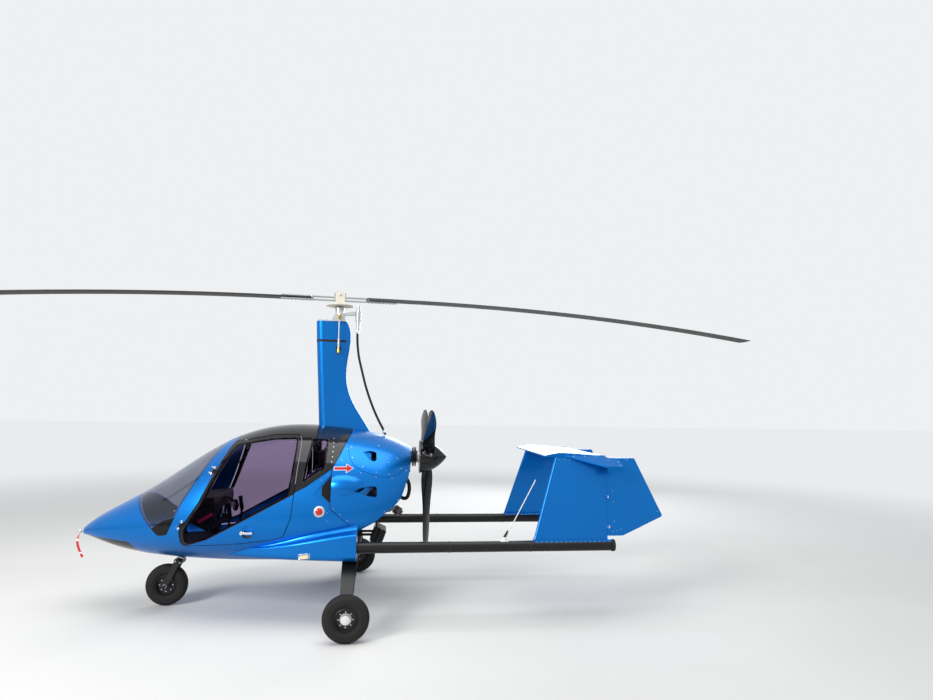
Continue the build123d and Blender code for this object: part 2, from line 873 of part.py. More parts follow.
axles = []
for name, side in SIDES:
    face_y = LEG_Y + BOW_THICKNESS / 2
    flange = rod((MAIN_AXLE_X, side * face_y, TYRE_RADIUS), (MAIN_AXLE_X, side * (face_y + 8), TYRE_RADIUS), 32)
    stub = rod(
        (MAIN_AXLE_X, side * face_y, TYRE_RADIUS), (MAIN_AXLE_X, side * (TRACK_HALF + 42), TYRE_RADIUS), AXLE_RADIUS
    )
    axle = flange + stub
    for (x_low, x_high), (in_low, in_high), half_height in CALLIPER:
        y_low, y_high = sorted((side * (TRACK_HALF - in_low), side * (TRACK_HALF - in_high)))
        axle = axle + box_between(
            (MAIN_AXLE_X + x_low, y_low, TYRE_RADIUS - half_height),
            (MAIN_AXLE_X + x_high, y_high, TYRE_RADIUS + half_height),
        )
    axles.append(axle)
save("axles", *axles)

# Wheels
half = TYRE_WIDTH / 2


def tyre(x, y):
    """A low-pressure tyre: bead, sidewall and tread as tangent arcs."""
    bead = RIM_RADIUS + RIM_FIT
    with_bead = half - 14
    outline = (
        Line((x + bead, y - with_bead, TYRE_RADIUS), (x + bead, y + with_bead, TYRE_RADIUS))
        + ThreePointArc(
            (x + bead, y + with_bead, TYRE_RADIUS),
            (x + 132, y + half, TYRE_RADIUS),
            (x + 166, y + half - 12, TYRE_RADIUS),
        )
        + ThreePointArc(
            (x + 166, y + half - 12, TYRE_RADIUS),
            (x + TYRE_RADIUS, y, TYRE_RADIUS),
            (x + 166, y - half + 12, TYRE_RADIUS),
        )
        + ThreePointArc(
            (x + 166, y - half + 12, TYRE_RADIUS),
            (x + 132, y - half, TYRE_RADIUS),
            (x + bead, y - with_bead, TYRE_RADIUS),
        )
    )
    return revolve(make_face(outline), Axis((x, y, TYRE_RADIUS), (0, 1, 0)), 360)


def rim(x, y, brake):
    """A two-flange rim with a dished web, a hub bored for the axle and a brake disc on one side."""
    bore = AXLE_RADIUS + AXLE_FIT
    profile = [
        (bore, y - 40),
        (34, y - 40),
        (34, y - 16),
        (76, y - 16),
        (80, y - half + 8),
        (RIM_RADIUS, y - half + 14),
        (RIM_RADIUS, y + half - 14),
        (80, y + half - 8),
        (76, y + 16),
        (34, y + 16),
        (34, y + 40),
        (bore, y + 40),
    ]
    wheel = revolve_about_y(profile, x, TYRE_RADIUS)
    if brake:
        disc_in, disc_out, disc_radius = BRAKE_DISC
        disc = [(bore, disc_in), (disc_radius, disc_in), (disc_radius, disc_out), (30, disc_out), (30, 38), (bore, 38)]
        wheel = wheel + revolve_about_y([(r, y + brake * away) for r, away in disc], x, TYRE_RADIUS)
    return wheel


WHEELS = [
    # name, axle x, y, side of the brake disc
    ("nose", NOSE_AXLE_X, 0, 0),
    ("left", MAIN_AXLE_X, -TRACK_HALF, 1),
    ("right", MAIN_AXLE_X, TRACK_HALF, -1),
]
for name, x, y, brake in WHEELS:
    save(f"{name}_tyre", tyre(x, y))
    save(f"{name}_rim", rim(x, y, brake))

# Nose leg: a stem that turns in a collar under the floor, and a fork
rake = Vector(sin(radians(STEER_RAKE)), 0, cos(radians(STEER_RAKE)))
pivot = Vector(*STEER_PIVOT)
stem_low = pivot - rake * 14
stem_top = pivot + rake * 110
collar_low = pivot + rake * 18
collar_top = pivot + rake * 100
stem = rod(stem_low, stem_top, STEM_RADIUS)
yoke = Plane(origin=stem_low, z_dir=rake).location * Box(70, 2 * FORK_Y + FORK_THICKNESS, 24)
fork_outline = [
    (stem_low.X - 38, stem_low.Z - 6, 8),
    (stem_low.X + 30, stem_low.Z + 16, 8),
    (NOSE_AXLE_X + 22, TYRE_RADIUS - 6, 14),
    (NOSE_AXLE_X - 16, TYRE_RADIUS - 20, 14),
    (NOSE_AXLE_X - 20, TYRE_RADIUS + 14, 10),
]
fork = stem + yoke
for name, side in SIDES:
    y_arm = side * FORK_Y
    fork = fork + side_prism(fork_outline, y_arm - FORK_THICKNESS / 2, y_arm + FORK_THICKNESS / 2)
axle_end = (NOSE_AXLE_X, NOSE_AXLE_HALF, TYRE_RADIUS)
fork = fork + rod((NOSE_AXLE_X, -NOSE_AXLE_HALF, TYRE_RADIUS), axle_end, AXLE_RADIUS)
fork = fork - rod((NOSE_AXLE_X, -NOSE_AXLE_HALF - 1, TYRE_RADIUS), (NOSE_AXLE_X, 200, TYRE_RADIUS), TOW_BORE_RADIUS)
save("nose_fork", fork)

collar = rod(collar_low, collar_top, STEM_RADIUS + 14)
collar = collar - rod(collar_low - rake, collar_top + rake, STEM_RADIUS + STEM_FIT)
save("nose_leg_collar", collar)
tub = tub - rod(collar_low, collar_top + rake * 30, STEM_RADIUS + 14 + SEAL)
save("cabin_tub", tub)

# Fins and rudders share one tapered, leaning blade
lean = (BOOM_Y - FIN_TOP_Y) / (FIN_TOP_Z - FIN_BASE_Z)


def tail_section(z, front, rear, thickness):
    """Blunt-nosed section, thickest a third of the way back, with a thin trailing edge."""
    y = -BOOM_Y + lean * (z - FIN_BASE_Z)
    t = thickness / 2
    peak = front + 0.3 * (rear - front)
    outline = (
        ThreePointArc((front + t, y - t * 0.7, z), (front, y, z), (front + t, y + t * 0.7, z))
        + ThreePointArc((front + t, y + t * 0.7, z), (peak, y + t, z), (rear, y + 2, z))
        + Line((rear, y + 2, z), (rear, y - 2, z))
        + ThreePointArc((rear, y - 2, z), (peak, y - t, z), (front + t, y - t * 0.7, z))
    )
    return make_face(outline)


tail_blade = loft(
    [
        tail_section(FIN_BASE_Z, FIN_BASE_FRONT, 2930, FIN_THICKNESS),
        tail_section(FIN_TOP_Z, FIN_TOP_FRONT, 2930, FIN_THICKNESS),
    ]
)


def hinge_at(z):
    """The rudder's hinge line on the port side."""
    share = (z - FIN_BASE_Z) / (FIN_TOP_Z - FIN_BASE_Z)
    return Vector(HINGE_X_BASE + share * (HINGE_X_TOP - HINGE_X_BASE), -BOOM_Y + lean * (z - FIN_BASE_Z), z)


rudder_line_low, rudder_line_high = hinge_at(600), hinge_at(1450)
hinge_radius = FIN_THICKNESS * 0.42
rear_half = side_prism(
    [(rudder_line_low.X, 600, 0), (3000, 600, 0), (3000, 1450, 0), (rudder_line_high.X, 1450, 0)], -WIDE, WIDE
)
hinge_bar = rod(rudder_line_low, rudder_line_high, hinge_radius)
hinge_clear = rod(rudder_line_low, rudder_line_high, hinge_radius + RUDDER_GAP)
fin = tail_blade - rear_half - hinge_clear
foot = box_between(
    (FIN_BASE_FRONT, -BOOM_Y - 30, BOOM_Z + 20), (HINGE_X_BASE + 18, -BOOM_Y + 30, FIN_BASE_Z + 6)
) - rod((0, -BOOM_Y, BOOM_Z), (3000, -BOOM_Y, BOOM_Z), BOOM_RADIUS + BOOM_FIT)
rudder_cut = side_prism(RUDDER_OUTLINE, -WIDE, WIDE)
rudder = ((tail_blade & rear_half) + (hinge_bar & rudder_cut)) & rudder_cut
for z in RUDDER_HINGES:
    centre = hinge_at(z)
    lug_low = (centre.X - hinge_radius - 2 * RUDDER_GAP, centre.Y - RUDDER_LUG, z - RUDDER_LUG / 2)
    lug_high = (centre.X + RUDDER_LUG, centre.Y + RUDDER_LUG, z + RUDDER_LUG / 2)
    fin = fin + box_between(lug_low, lug_high)
    fin = fin + rod(hinge_at(z - RUDDER_PIN_HALF), hinge_at(z + RUDDER_PIN_HALF), HINGE_PIN)
    slot_half = RUDDER_LUG / 2 + RUDDER_GAP
    slot_rear = centre.X + hinge_radius + RUDDER_GAP
    rudder = rudder - box_between((slot_rear - 90, -WIDE, z - slot_half), (slot_rear, 0, z + slot_half))
    rudder = rudder - rod(hinge_at(z - RUDDER_PIN_HALF - 3), hinge_at(z + RUDDER_PIN_HALF + 3), HINGE_PIN + PIN_FIT)
for name, side in SIDES:
    save(f"fin_{name}", mirrored(fin + foot, side))
    save(f"{name}_rudder", mirrored(rudder, side))

# Stabiliser on the fins, with drooped tips outboard of them
stab_profile = [
    (STAB_FRONT, STAB_Z + 12, 5),
    (STAB_FRONT + 130, STAB_Z + STAB_THICKNESS + 8, 400),
    (STAB_REAR, STAB_Z + 10, 3),
    (STAB_REAR, STAB_Z, 3),
    (STAB_FRONT, STAB_Z, 4),
]
stab_end = FIN_TOP_Y + 22
stab = side_prism(stab_profile, -stab_end, stab_end)
tip_plan = [
    (2040, stab_end + REST),
    (2363, STAB_TIP_Y),
    (2500, STAB_TIP_Y),
    (2500, FIN_TOP_Y + 105),
    (STAB_REAR - 10, FIN_TOP_Y + 50),
    (STAB_REAR - 10, stab_end + REST),
]
tip_slope = STAB_TIP_DROP / (STAB_TIP_Y - FIN_TOP_Y)
tip_prism = extrude(make_face(Polyline(*[(x, y, 1100) for x, y in tip_plan], close=True)), amount=500, dir=(0, 0, 1))
tip_slab_points = [
    (2000, FIN_TOP_Y, STAB_Z + 26),
    (2000, STAB_TIP_Y + 20, STAB_Z + 26 - tip_slope * (STAB_TIP_Y + 20 - FIN_TOP_Y)),
    (2000, STAB_TIP_Y + 20, STAB_Z + 12 - tip_slope * (STAB_TIP_Y + 20 - FIN_TOP_Y)),
    (2000, FIN_TOP_Y, STAB_Z + 12),
]
tip_slab = extrude(make_face(Polyline(*tip_slab_points, close=True)), amount=600, dir=(1, 0, 0))
tip = tip_prism & tip_slab
tip = tip + box_between((2363, STAB_TIP_Y - 8, STAB_LIP_BASE), (2500, STAB_TIP_Y, STAB_LIP_TOP))
save("stabiliser", stab, tip, tip.mirror(Plane.XZ))

# Mast fairing, seated on the roof
faces = []
for z, front, rear, width in MAST_STATIONS:
    h = width / 2
    outline = (
        ThreePointArc((front + h, h, z), (front, 0, z), (front + h, -h, z))
        + Line((front + h, -h, z), (rear - 12, -22, z))
        + ThreePointArc((rear - 12, -22, z), (rear, 0, z), (rear - 12, 22, z))
        + Line((rear - 12, 22, z), (front + h, h, z))
    )
    faces.append(make_face(outline))
fairing = loft(faces) - body_loft(MAST_SEAM)
for name, side in SIDES:
    fairing = fairing - rod((ROD_X, side * 10, ROD_FOOT_Z), (ROD_X, side * ROD_Y, ROD_FOOT_Z), ROD_PIN + REST)
    slot_from, slot_to = sorted((side * MAST_SLOT_DEEP_Y, side * WIDE))
    fairing = fairing - side_prism(MAST_SLOT, slot_from, slot_to)
save("mast_fairing", fairing)

# Rotor head: cap plate on the mast, gimbal cheeks and block, bearing housing with the prerotator's bracket
mast_top = MAST_STATIONS[-1][0]
cap_plate = [(x, y + REST + mast_top, r) for x, y, r in HEAD_CAP_PLATE]
head = side_prism(cap_plate, -50, 50)
for y_low, y_high in [(-50, -38), (38, 50)]:
    head = head + side_prism(HEAD_CHEEK, y_low, y_high)
head = head + side_prism(HEAD_BLOCK, -38, 38)
housing = make_face(Polyline(*[(r, 0, z) for r, z in HEAD_HOUSING], close=True))
head = head + revolve(housing, Axis.Z, 360)
head = head + side_prism(HEAD_BRACKET, -22, 22)
head = head + rod((0, -58, HEAD_PIVOT_Z), (0, 58, HEAD_PIVOT_Z), 9)
arm_y = ROD_Y - ROD_RADIUS - REST
head = head + box_between((ROD_X - 12, -arm_y, ROD_HEAD_Z - 10), (ROD_X + 12, arm_y, ROD_HEAD_Z + 10))
head = head - rod((0, 0, HEAD_BASE - 10), (0, 0, HEAD_TOP + 5), SPINDLE_RADIUS + AXLE_FIT)
save("rotor_head", head)

prerotator = rod((PREROTATOR_X, 0, 2620), (PREROTATOR_X, 0, 2700), PREROTATOR_RADIUS)
for radius, z_low, z_high in PREROTATOR_STEPS:
    prerotator = prerotator + rod((PREROTATOR_X, 0, z_low), (PREROTATOR_X, 0, z_high), radius)
save("prerotator", prerotator)

SHAFT_ROUTE = [
    (172, -4, 2506.7),
    (174, -6, 2390),
    (192, -12, 2250),
    (228, -22, 2115),
    (262, -30, 1985),
    (305, -36, 1860),
    (352, -40, 1745),
    (398, -40, 1650),
    (440, -38, 1575),
    (462, -36, 1525),
]
shaft_radii = []
for a, b, c in zip(SHAFT_ROUTE, SHAFT_ROUTE[1:], SHAFT_ROUTE[2:]):
    u, v = Vector(*b) - Vector(*a), Vector(*c) - Vector(*b)
    turn = radians(u.get_angle(v))
    shaft_radii.append(0.45 * min(u.length, v.length) / tan(turn / 2))
shaft_path = FilletPolyline(*SHAFT_ROUTE, radius=shaft_radii)
print("drive shaft radii", [round(r) for r in shaft_radii], "length", round(shaft_path.length))
shaft_start = Plane(origin=shaft_path @ 0, z_dir=shaft_path % 0)
save("prerotator_shaft", sweep(shaft_start.location * Circle(11), path=shaft_path))

rods = []
for name, side in SIDES:
    control_rod = rod((ROD_X, side * ROD_Y, ROD_FOOT_Z - 12), (ROD_X, side * ROD_Y, ROD_HEAD_Z + 20), ROD_RADIUS)
    turnbuckle = rod((ROD_X, side * ROD_Y, ROD_FOOT_Z + 40), (ROD_X, side * ROD_Y, ROD_FOOT_Z + 130), 10)
    foot_pin = rod((ROD_X, side * 14, ROD_FOOT_Z), (ROD_X, side * ROD_Y, ROD_FOOT_Z), ROD_PIN)
    rods.append(control_rod + turnbuckle + foot_pin)
save("control_rods", *rods)

# Rotor tower with ring gear and spindle, turning in the head
turn_to_blades = Rot(0, 0, ROTOR_AZIMUTH)
teeth = []
for k in range(RING_TEETH):
    for share, radius in RING_TOOTH:
        angle = radians(360 * (k + share) / RING_TEETH)
        teeth.append((radius * cos(angle), radius * sin(angle), RING_Z))
tower = extrude(make_face(Polyline(*teeth, close=True)), amount=RING_THICKNESS, dir=(0, 0, 1))
tower = tower + rod((0, 0, HEAD_BASE + 5), (0, 0, RING_Z), SPINDLE_RADIUS)
plate_y = HUB_BAR_WIDTH / 2 + 2
for name, side in SIDES:
    y_low, y_high = sorted((side * plate_y, side * (plate_y + TOWER_PLATE)))
    tower = tower + side_prism(TOWER_PLATE_OUTLINE, y_low, y_high)
tower = tower + rod((0, -plate_y - TOWER_PLATE - 9, TEETER_Z), (0, plate_y + TOWER_PLATE + 9, TEETER_Z), TEETER_RADIUS)
save("rotor_tower", turn_to_blades * tower)

# Hub bar: two long plates and a block on the teeter bolt
bar = box_between((-55, -HUB_BAR_WIDTH / 2, BLADE_Z - 14), (55, HUB_BAR_WIDTH / 2, TEETER_Z + 16))
for side in (-1, 1):
    z = BLADE_Z + side * (HUB_BAR_SPACE + HUB_BAR_PLATE) / 2
    plate_low = (-HUB_BAR_HALF, -HUB_BAR_WIDTH / 2, z - HUB_BAR_PLATE / 2)
    plate_high = (HUB_BAR_HALF, HUB_BAR_WIDTH / 2, z + HUB_BAR_PLATE / 2)
    bar = bar + box_between(plate_low, plate_high)
bar = bar - rod((0, -100, TEETER_Z), (0, 100, TEETER_Z), TEETER_RADIUS + AXLE_FIT)
save("hub_bar", turn_to_blades * bar)

# Rotor blades: straight root, then a stretch that droops along one arc
arc_length = ROTOR_RADIUS - BLADE_STRAIGHT
droop_radius = arc_length**2 / (2 * BLADE_DROOP)


def blade_section(x, z):
    """Aerofoil across the span, leading edge towards +Y."""
    nose = 0.25 * BLADE_CHORD
    tail = nose - BLADE_CHORD
    up, down = 0.55 * BLADE_THICKNESS, 0.45 * BLADE_THICKNESS
    outline = (
        ThreePointArc((x, nose - 8, z + 6), (x, nose, z), (x, nose - 8, z - 6))
        + ThreePointArc((x, nose - 8, z - 6), (x, nose - 60, z - down), (x, tail, z - 1))
        + Line((x, tail, z - 1), (x, tail, z + 1))
        + ThreePointArc((x, tail, z + 1), (x, nose - 60, z + up), (x, nose - 8, z + 6))
    )
    return make_face(outline)


root = extrude(blade_section(BLADE_ROOT, BLADE_Z), amount=BLADE_STRAIGHT - BLADE_ROOT, dir=(1, 0, 0))
bend_axis = Axis((BLADE_STRAIGHT, 0, BLADE_Z - droop_radius), (0, 1, 0))
bend = revolve(blade_section(BLADE_STRAIGHT, BLADE_Z), bend_axis, degrees(arc_length / droop_radius))
blade = root + bend
save("rotor_blades", turn_to_blades * blade, Rot(0, 0, 180 + ROTOR_AZIMUTH) * blade)

# Engine: flat four on a rounded crankcase, with a geared drive, under the open rear of the cowling
case_points = [(ENGINE_FRONT, y, z) for y, z, _ in CRANKCASE]
case_wire = FilletPolyline(*case_points, radius=[r for _, _, r in CRANKCASE], close=True)
block = extrude(make_face(case_wire), amount=GEARBOX_FRONT - ENGINE_FRONT, dir=(1, 0, 0))
for x_port in PORT_X:
    for name, side in SIDES:
        barrel = rod((x_port, -60, CYLINDER_Z), (x_port, -HEAD_IN_Y - 10, CYLINDER_Z), BARREL_RADIUS)
        for k in range(FIN_COUNT):
            y_fin = -HEAD_IN_Y + FIN_PITCH * (k + 1)
            fin_outline = [(x_port + x, CYLINDER_Z + z, 18) for x, z in COOLING_FIN]
            barrel = barrel + side_prism(fin_outline, y_fin - COOLING_FIN_THICKNESS, y_fin)
        for half_length, z_low, z_high, y_in, y_out, r in CYLINDER_HEAD:
            outline = [(x_port + x, z, r) for x, z in (
                (-half_length, z_low), (half_length, z_low), (half_length, z_high), (-half_length, z_high))]
            barrel = barrel + side_prism(outline, -y_out, -y_in)
        block = block + mirrored(barrel, side)
save("engine_block", block)

gearbox = None
for x_low, x_high, z, radius in GEARBOX_STEPS:
    step = rod((x_low, 0, z), (x_high, 0, z), radius)
    gearbox = step if gearbox is None else gearbox + step
gearbox = gearbox - rod((GEARBOX_REAR - 60, 0, PROP_Z), (GEARBOX_REAR + 1, 0, PROP_Z), PROP_SHAFT_RADIUS + AXLE_FIT)
save("engine_gearbox", gearbox)

carburettors = []
for name, side in SIDES:
    y = side * CARB_Y
    intake = None
    for start, end, radius in CARB_RODS:
        piece = rod((start[0], y, start[1]), (end[0], y, end[1]), radius)
        intake = piece if intake is None else intake + piece
    carburettors.append(intake)
save("carburettors", *carburettors)

mount_space = box_between((FIREWALL_X + REST, -WIDE, 900), (ENGINE_FRONT - REST, WIDE, 1500))
mounts = []
for name, side in SIDES:
    for (y_wall, z_wall), (y_engine, z_engine) in MOUNT_BARS:
        bar = rod((FIREWALL_X - 20, side * y_wall, z_wall), (ENGINE_FRONT + 20, side * y_engine, z_engine), 12)
        mounts.append(bar & mount_space)
save("engine_mount", *mounts)

cooler = side_prism(COOLER_OUTLINE, -330, -90)
for y in (-290, -130):
    cooler = cooler + rod((FIREWALL_X + REST, y, COOLER_ARM_Z), (COOLER_OUTLINE[0][0] + 40, y, COOLER_ARM_Z), 11)
save("oil_cooler", cooler)

muffler_profile = [(MUFFLER_X + r, y, MUFFLER_Z) for r, y in MUFFLER_PROFILE]
muffler = revolve(make_face(Polyline(*muffler_profile, close=True)), Axis((MUFFLER_X, 0, MUFFLER_Z), (0, 1, 0)), 360)
pipes = None
for side in (-1, 1):
    for x_port in PORT_X:
        port = (x_port, side * PORT_Y, HEAD_BASE_Z - REST)
        elbow = (x_port, side * PORT_Y, HEAD_BASE_Z - 50)
        pipe = rod(port, elbow, PORT_RADIUS) + Pos(*elbow) * Sphere(PORT_RADIUS)
        pipe = pipe + rod(elbow, (MUFFLER_X, side * PORT_Y, MUFFLER_Z), PORT_RADIUS)
        pipes = pipe if pipes is None else pipes + pipe
tail_start, tail_end = TAIL_PIPE
tail_pipe = rod(tail_start, tail_end, TAIL_RADIUS) - rod(tail_start, tail_end, TAIL_RADIUS - MUFFLER_WALL)
silencer_profile = [(MUFFLER_X + r, y, MUFFLER_Z) for r, y in MUFFLER_SPACE]
silencer_face = make_face(Polyline(*silencer_profile, close=True))
silencer_space = revolve(silencer_face, Axis((MUFFLER_X, 0, MUFFLER_Z), (0, 1, 0)), 360)
exhaust = muffler + pipes - silencer_space + (tail_pipe - silencer_space)
save("exhaust", exhaust)

# Propeller: hub on the gearbox shaft, spinner shell, three twisted blades
inside_front = SPINNER_FRONT + 7
hub = rod((inside_front + REST, 0, PROP_Z), (PROP_X + 42, 0, PROP_Z), PROP_HUB_RADIUS)
hub = hub + rod((GEARBOX_REAR - 55, 0, PROP_Z), (SPINNER_FRONT + 10, 0, PROP_Z), PROP_SHAFT_RADIUS)
flange_front, flange_rear, flange_radius = DRIVE_FLANGE
hub = hub + rod((flange_front, 0, PROP_Z), (flange_rear, 0, PROP_Z), flange_radius)
spinner_outside = (
    Line((SPINNER_FRONT, 0, 0), (SPINNER_FRONT, SPINNER_RADIUS, 0))
    + ThreePointArc(
        (SPINNER_FRONT, SPINNER_RADIUS, 0),
        (SPINNER_FRONT + 0.62 * (SPINNER_TIP - SPINNER_FRONT), 0.66 * SPINNER_RADIUS, 0),
        (SPINNER_TIP, 0, 0),
    )
    + Line((SPINNER_TIP, 0, 0), (SPINNER_FRONT, 0, 0))
)
spinner_axis = Axis((0, 0, 0), (1, 0, 0))
spinner = revolve(make_face(spinner_outside), spinner_axis, 360)
inside_radius = SPINNER_RADIUS - SPINNER_WALL
inside_tip = SPINNER_TIP - 2.2 * SPINNER_WALL
spinner_inside = (
    Line((inside_front, 0, 0), (inside_front, inside_radius, 0))
    + ThreePointArc(
        (inside_front, inside_radius, 0),
        (inside_front + 0.62 * (inside_tip - inside_front), 0.66 * inside_radius, 0),
        (inside_tip, 0, 0),
    )
    + Line((inside_tip, 0, 0), (inside_front, 0, 0))
)
spinner = spinner - revolve(make_face(spinner_inside), spinner_axis, 360)
spinner = Pos(0, 0, PROP_Z) * spinner
spinner = spinner - rod((SPINNER_FRONT - 1, 0, PROP_Z), (inside_front + 1, 0, PROP_Z), PROP_SHAFT_RADIUS + 2)


def prop_section(radius, chord, pitch, thickness):
    """Lens section across a propeller blade that points down."""
    plane = Plane(
        origin=(PROP_X, 0, PROP_Z - radius),
        x_dir=(sin(radians(pitch)), cos(radians(pitch)), 0),
        z_dir=(0, 0, -1),
    )
    c, t = chord / 2, thickness / 2
    outline = (
        ThreePointArc((-c, 0), (0, t), (c, 0.5))
        + Line((c, 0.5), (c, -0.5))
        + ThreePointArc((c, -0.5), (0, -t), (-c, 0))
    )
    return plane.location * make_face(outline)


prop_blade = loft([prop_section(*row) for row in PROP_BLADE_SECTIONS])
prop_blade = prop_blade + rod((PROP_X, 0, PROP_Z - 40), (PROP_X, 0, PROP_Z - 114), PROP_SHANK_RADIUS)
prop_axis = Axis((0, 0, PROP_Z), (1, 0, 0))
prop_blades = []
for k in range(PROP_BLADES):
    angle = 360 * k / PROP_BLADES
    prop_blades.append(prop_blade.rotate(prop_axis, angle))
    socket = rod((PROP_X, 0, PROP_Z - 38), (PROP_X, 0, PROP_Z - 90), PROP_SHANK_RADIUS + AXLE_FIT)
    hub = hub - socket.rotate(prop_axis, angle)
    window = rod((PROP_X, 0, PROP_Z - 90), (PROP_X, 0, PROP_Z - 200), SPINNER_WINDOW)
    spinner = spinner - window.rotate(prop_axis, angle)
save("propeller_hub", hub)
save("propeller_spinner", spinner)
save("propeller_blades", *prop_blades)

# Small outside pieces
antenna = rod((ANTENNA_X, -BOOM_Y, BOOM_Z + BOOM_RADIUS + 6), ANTENNA_TIP, 4)
antenna_foot = Cone(ANTENNA_FOOT, 9, 34, align=(Align.CENTER, Align.CENTER, Align.MIN))
antenna = antenna + Pos(ANTENNA_X, -BOOM_Y, BOOM_Z + BOOM_RADIUS + REST) * antenna_foot
save("antenna", antenna)
nose_x = BODY_STATIONS[0][0]
save("pitot_tube", rod((nose_x - REST, 0, PITOT_Z), (PITOT_TIP_X, 0, PITOT_Z), PITOT_RADIUS))

cap_x, cap_z = CAP_AT
save("fuel_cap", rod((cap_x, -CAP_OUT_Y + 46, cap_z), (cap_x, -CAP_OUT_Y, cap_z), CAP_RADIUS) - body_clear)
lamps = []
for name, side in SIDES:
    lamps.append(mirrored(side_prism(NAV_LAMP, -745, -690) - sponson_solid, side))
save("nav_lights", *lamps)
ribbon_plane = Plane(origin=(0, -RIBBON_WIDTH / 2, 0), x_dir=(1, 0, 0), z_dir=(0, -1, 0))
ribbon_strip = ribbon_plane.location * trace(ThreePointArc(*RIBBON_LINE), RIBBON_THICKNESS)
save("pitot_ribbon", extrude(ribbon_strip, amount=RIBBON_WIDTH, dir=(0, 1, 0)))
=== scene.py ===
import json
import math

import bmesh
import bpy
from mathutils import Matrix, Vector
from mathutils.bvhtree import BVHTree

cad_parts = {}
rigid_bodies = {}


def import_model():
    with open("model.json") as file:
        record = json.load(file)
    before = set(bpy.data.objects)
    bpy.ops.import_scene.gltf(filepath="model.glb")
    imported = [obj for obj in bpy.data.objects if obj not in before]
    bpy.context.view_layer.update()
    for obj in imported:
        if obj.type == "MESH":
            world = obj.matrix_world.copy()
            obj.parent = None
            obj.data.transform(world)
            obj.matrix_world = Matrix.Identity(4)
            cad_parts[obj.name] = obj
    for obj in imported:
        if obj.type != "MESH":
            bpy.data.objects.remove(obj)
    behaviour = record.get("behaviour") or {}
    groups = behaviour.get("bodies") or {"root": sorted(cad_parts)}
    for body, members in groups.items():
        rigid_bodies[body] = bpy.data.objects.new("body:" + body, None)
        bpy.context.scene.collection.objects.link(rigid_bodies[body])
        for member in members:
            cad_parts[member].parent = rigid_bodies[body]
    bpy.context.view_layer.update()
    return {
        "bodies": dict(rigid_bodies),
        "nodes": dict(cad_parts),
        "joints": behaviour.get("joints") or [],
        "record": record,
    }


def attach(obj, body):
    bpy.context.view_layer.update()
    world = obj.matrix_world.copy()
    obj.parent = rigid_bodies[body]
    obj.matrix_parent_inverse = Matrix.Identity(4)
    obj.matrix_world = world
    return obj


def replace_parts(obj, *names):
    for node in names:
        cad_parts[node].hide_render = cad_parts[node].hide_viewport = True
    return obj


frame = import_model()
NODES = frame["nodes"]
SCENE = bpy.context.scene
SIDES = [("left", -1), ("right", 1)]
UP = Vector((0, 0, 1))
STARBOARD = Vector((0, 1, 0))


# Shader maths written as expressions
class Sock:
    """One varying number or colour in a material's tree."""

    def __init__(self, finish, socket):
        self.finish = finish
        self.socket = socket

    def _with(self, operation, *values):
        return self.finish.node("ShaderNodeMath", {"operation": operation}, dict(enumerate(values)))

    def __add__(self, other):
        return self._with("ADD", self, other)

    def __radd__(self, other):
        return self._with("ADD", other, self)

    def __sub__(self, other):
        return self._with("SUBTRACT", self, other)

    def __rsub__(self, other):
        return self._with("SUBTRACT", other, self)

    def __mul__(self, other):
        return self._with("MULTIPLY", self, other)

    def __rmul__(self, other):
        return self._with("MULTIPLY", other, self)

    def __abs__(self):
        return self._with("ABSOLUTE", self)

    def __pow__(self, other):
        return self._with("POWER", self, other)

    def sine(self):
        return self._with("SINE", self)

    def root(self):
        return self._with("SQRT", self)

    def above(self, edge, soft=0.0006):
        """1 above the edge and 0 below it, with a soft step."""
        return self.finish.node(
            "ShaderNodeMapRange",
            {"interpolation_type": "SMOOTHSTEP"},
            {"Value": self, "From Min": edge - soft, "From Max": edge + soft},
        )

    def below(self, edge, soft=0.0006):
        return 1 - self.above(edge, soft)

    def least(self, other):
        return self._with("MINIMUM", self, other)

    def most(self, other):
        return self._with("MAXIMUM", self, other)


class Finish:
    """One material, built node by node."""

    def __init__(self, name):
        self.material = bpy.data.materials.new(name)
        self.material.use_nodes = True
        self.tree = self.material.node_tree
        self.tree.nodes.clear()
        self.place = None

    def node(self, kind, settings=None, inputs=None, output=0):
        """Any node: its settings first, then the values or links of its sockets."""
        made = self.tree.nodes.new(kind)
        for key, value in (settings or {}).items():
            setattr(made, key, value)
        for key, value in (inputs or {}).items():
            if isinstance(value, Sock):
                self.tree.links.new(value.socket, made.inputs[key])
            else:
                made.inputs[key].default_value = value
        return Sock(self, made.outputs[output])

    def coordinates(self):
        if self.place is None:
            self.place = self.node("ShaderNodeTexCoord", output="Object")
        return self.place

    def xyz(self):
        split = self.tree.nodes.new("ShaderNodeSeparateXYZ")
        self.tree.links.new(self.coordinates().socket, split.inputs[0])
        return [Sock(self, output) for output in split.outputs]

    def noise(self, scale, detail, roughness):
        inputs = {"Vector": self.coordinates(), "Scale": scale, "Detail": detail, "Roughness": roughness}
        return self.node("ShaderNodeTexNoise", {}, inputs)

    def mix(self, share, low, high):
        """Colour that goes from low to high by share."""
        node = self.tree.nodes.new("ShaderNodeMix")
        node.data_type = "RGBA"
        for index, value in ((0, share), (6, low), (7, high)):
            if isinstance(value, Sock):
                self.tree.links.new(value.socket, node.inputs[index])
            elif index == 0:
                node.inputs[index].default_value = value
            else:
                node.inputs[index].default_value = (*value, 1)
        return Sock(self, node.outputs[2])

    def bump(self, height, distance):
        return self.node("ShaderNodeBump", {}, {"Height": height, "Distance": distance, "Strength": 1.0})

    def principled(self, **inputs):
        named = {}
        for key, value in inputs.items():
            named[key.replace("_", " ")] = (*value, 1) if isinstance(value, tuple) else value
        return self.node("ShaderNodeBsdfPrincipled", {}, named)

    def done(self, shader):
        output = self.tree.nodes.new("ShaderNodeOutputMaterial")
        self.tree.links.new(shader.socket, output.inputs["Surface"])
        return self.material


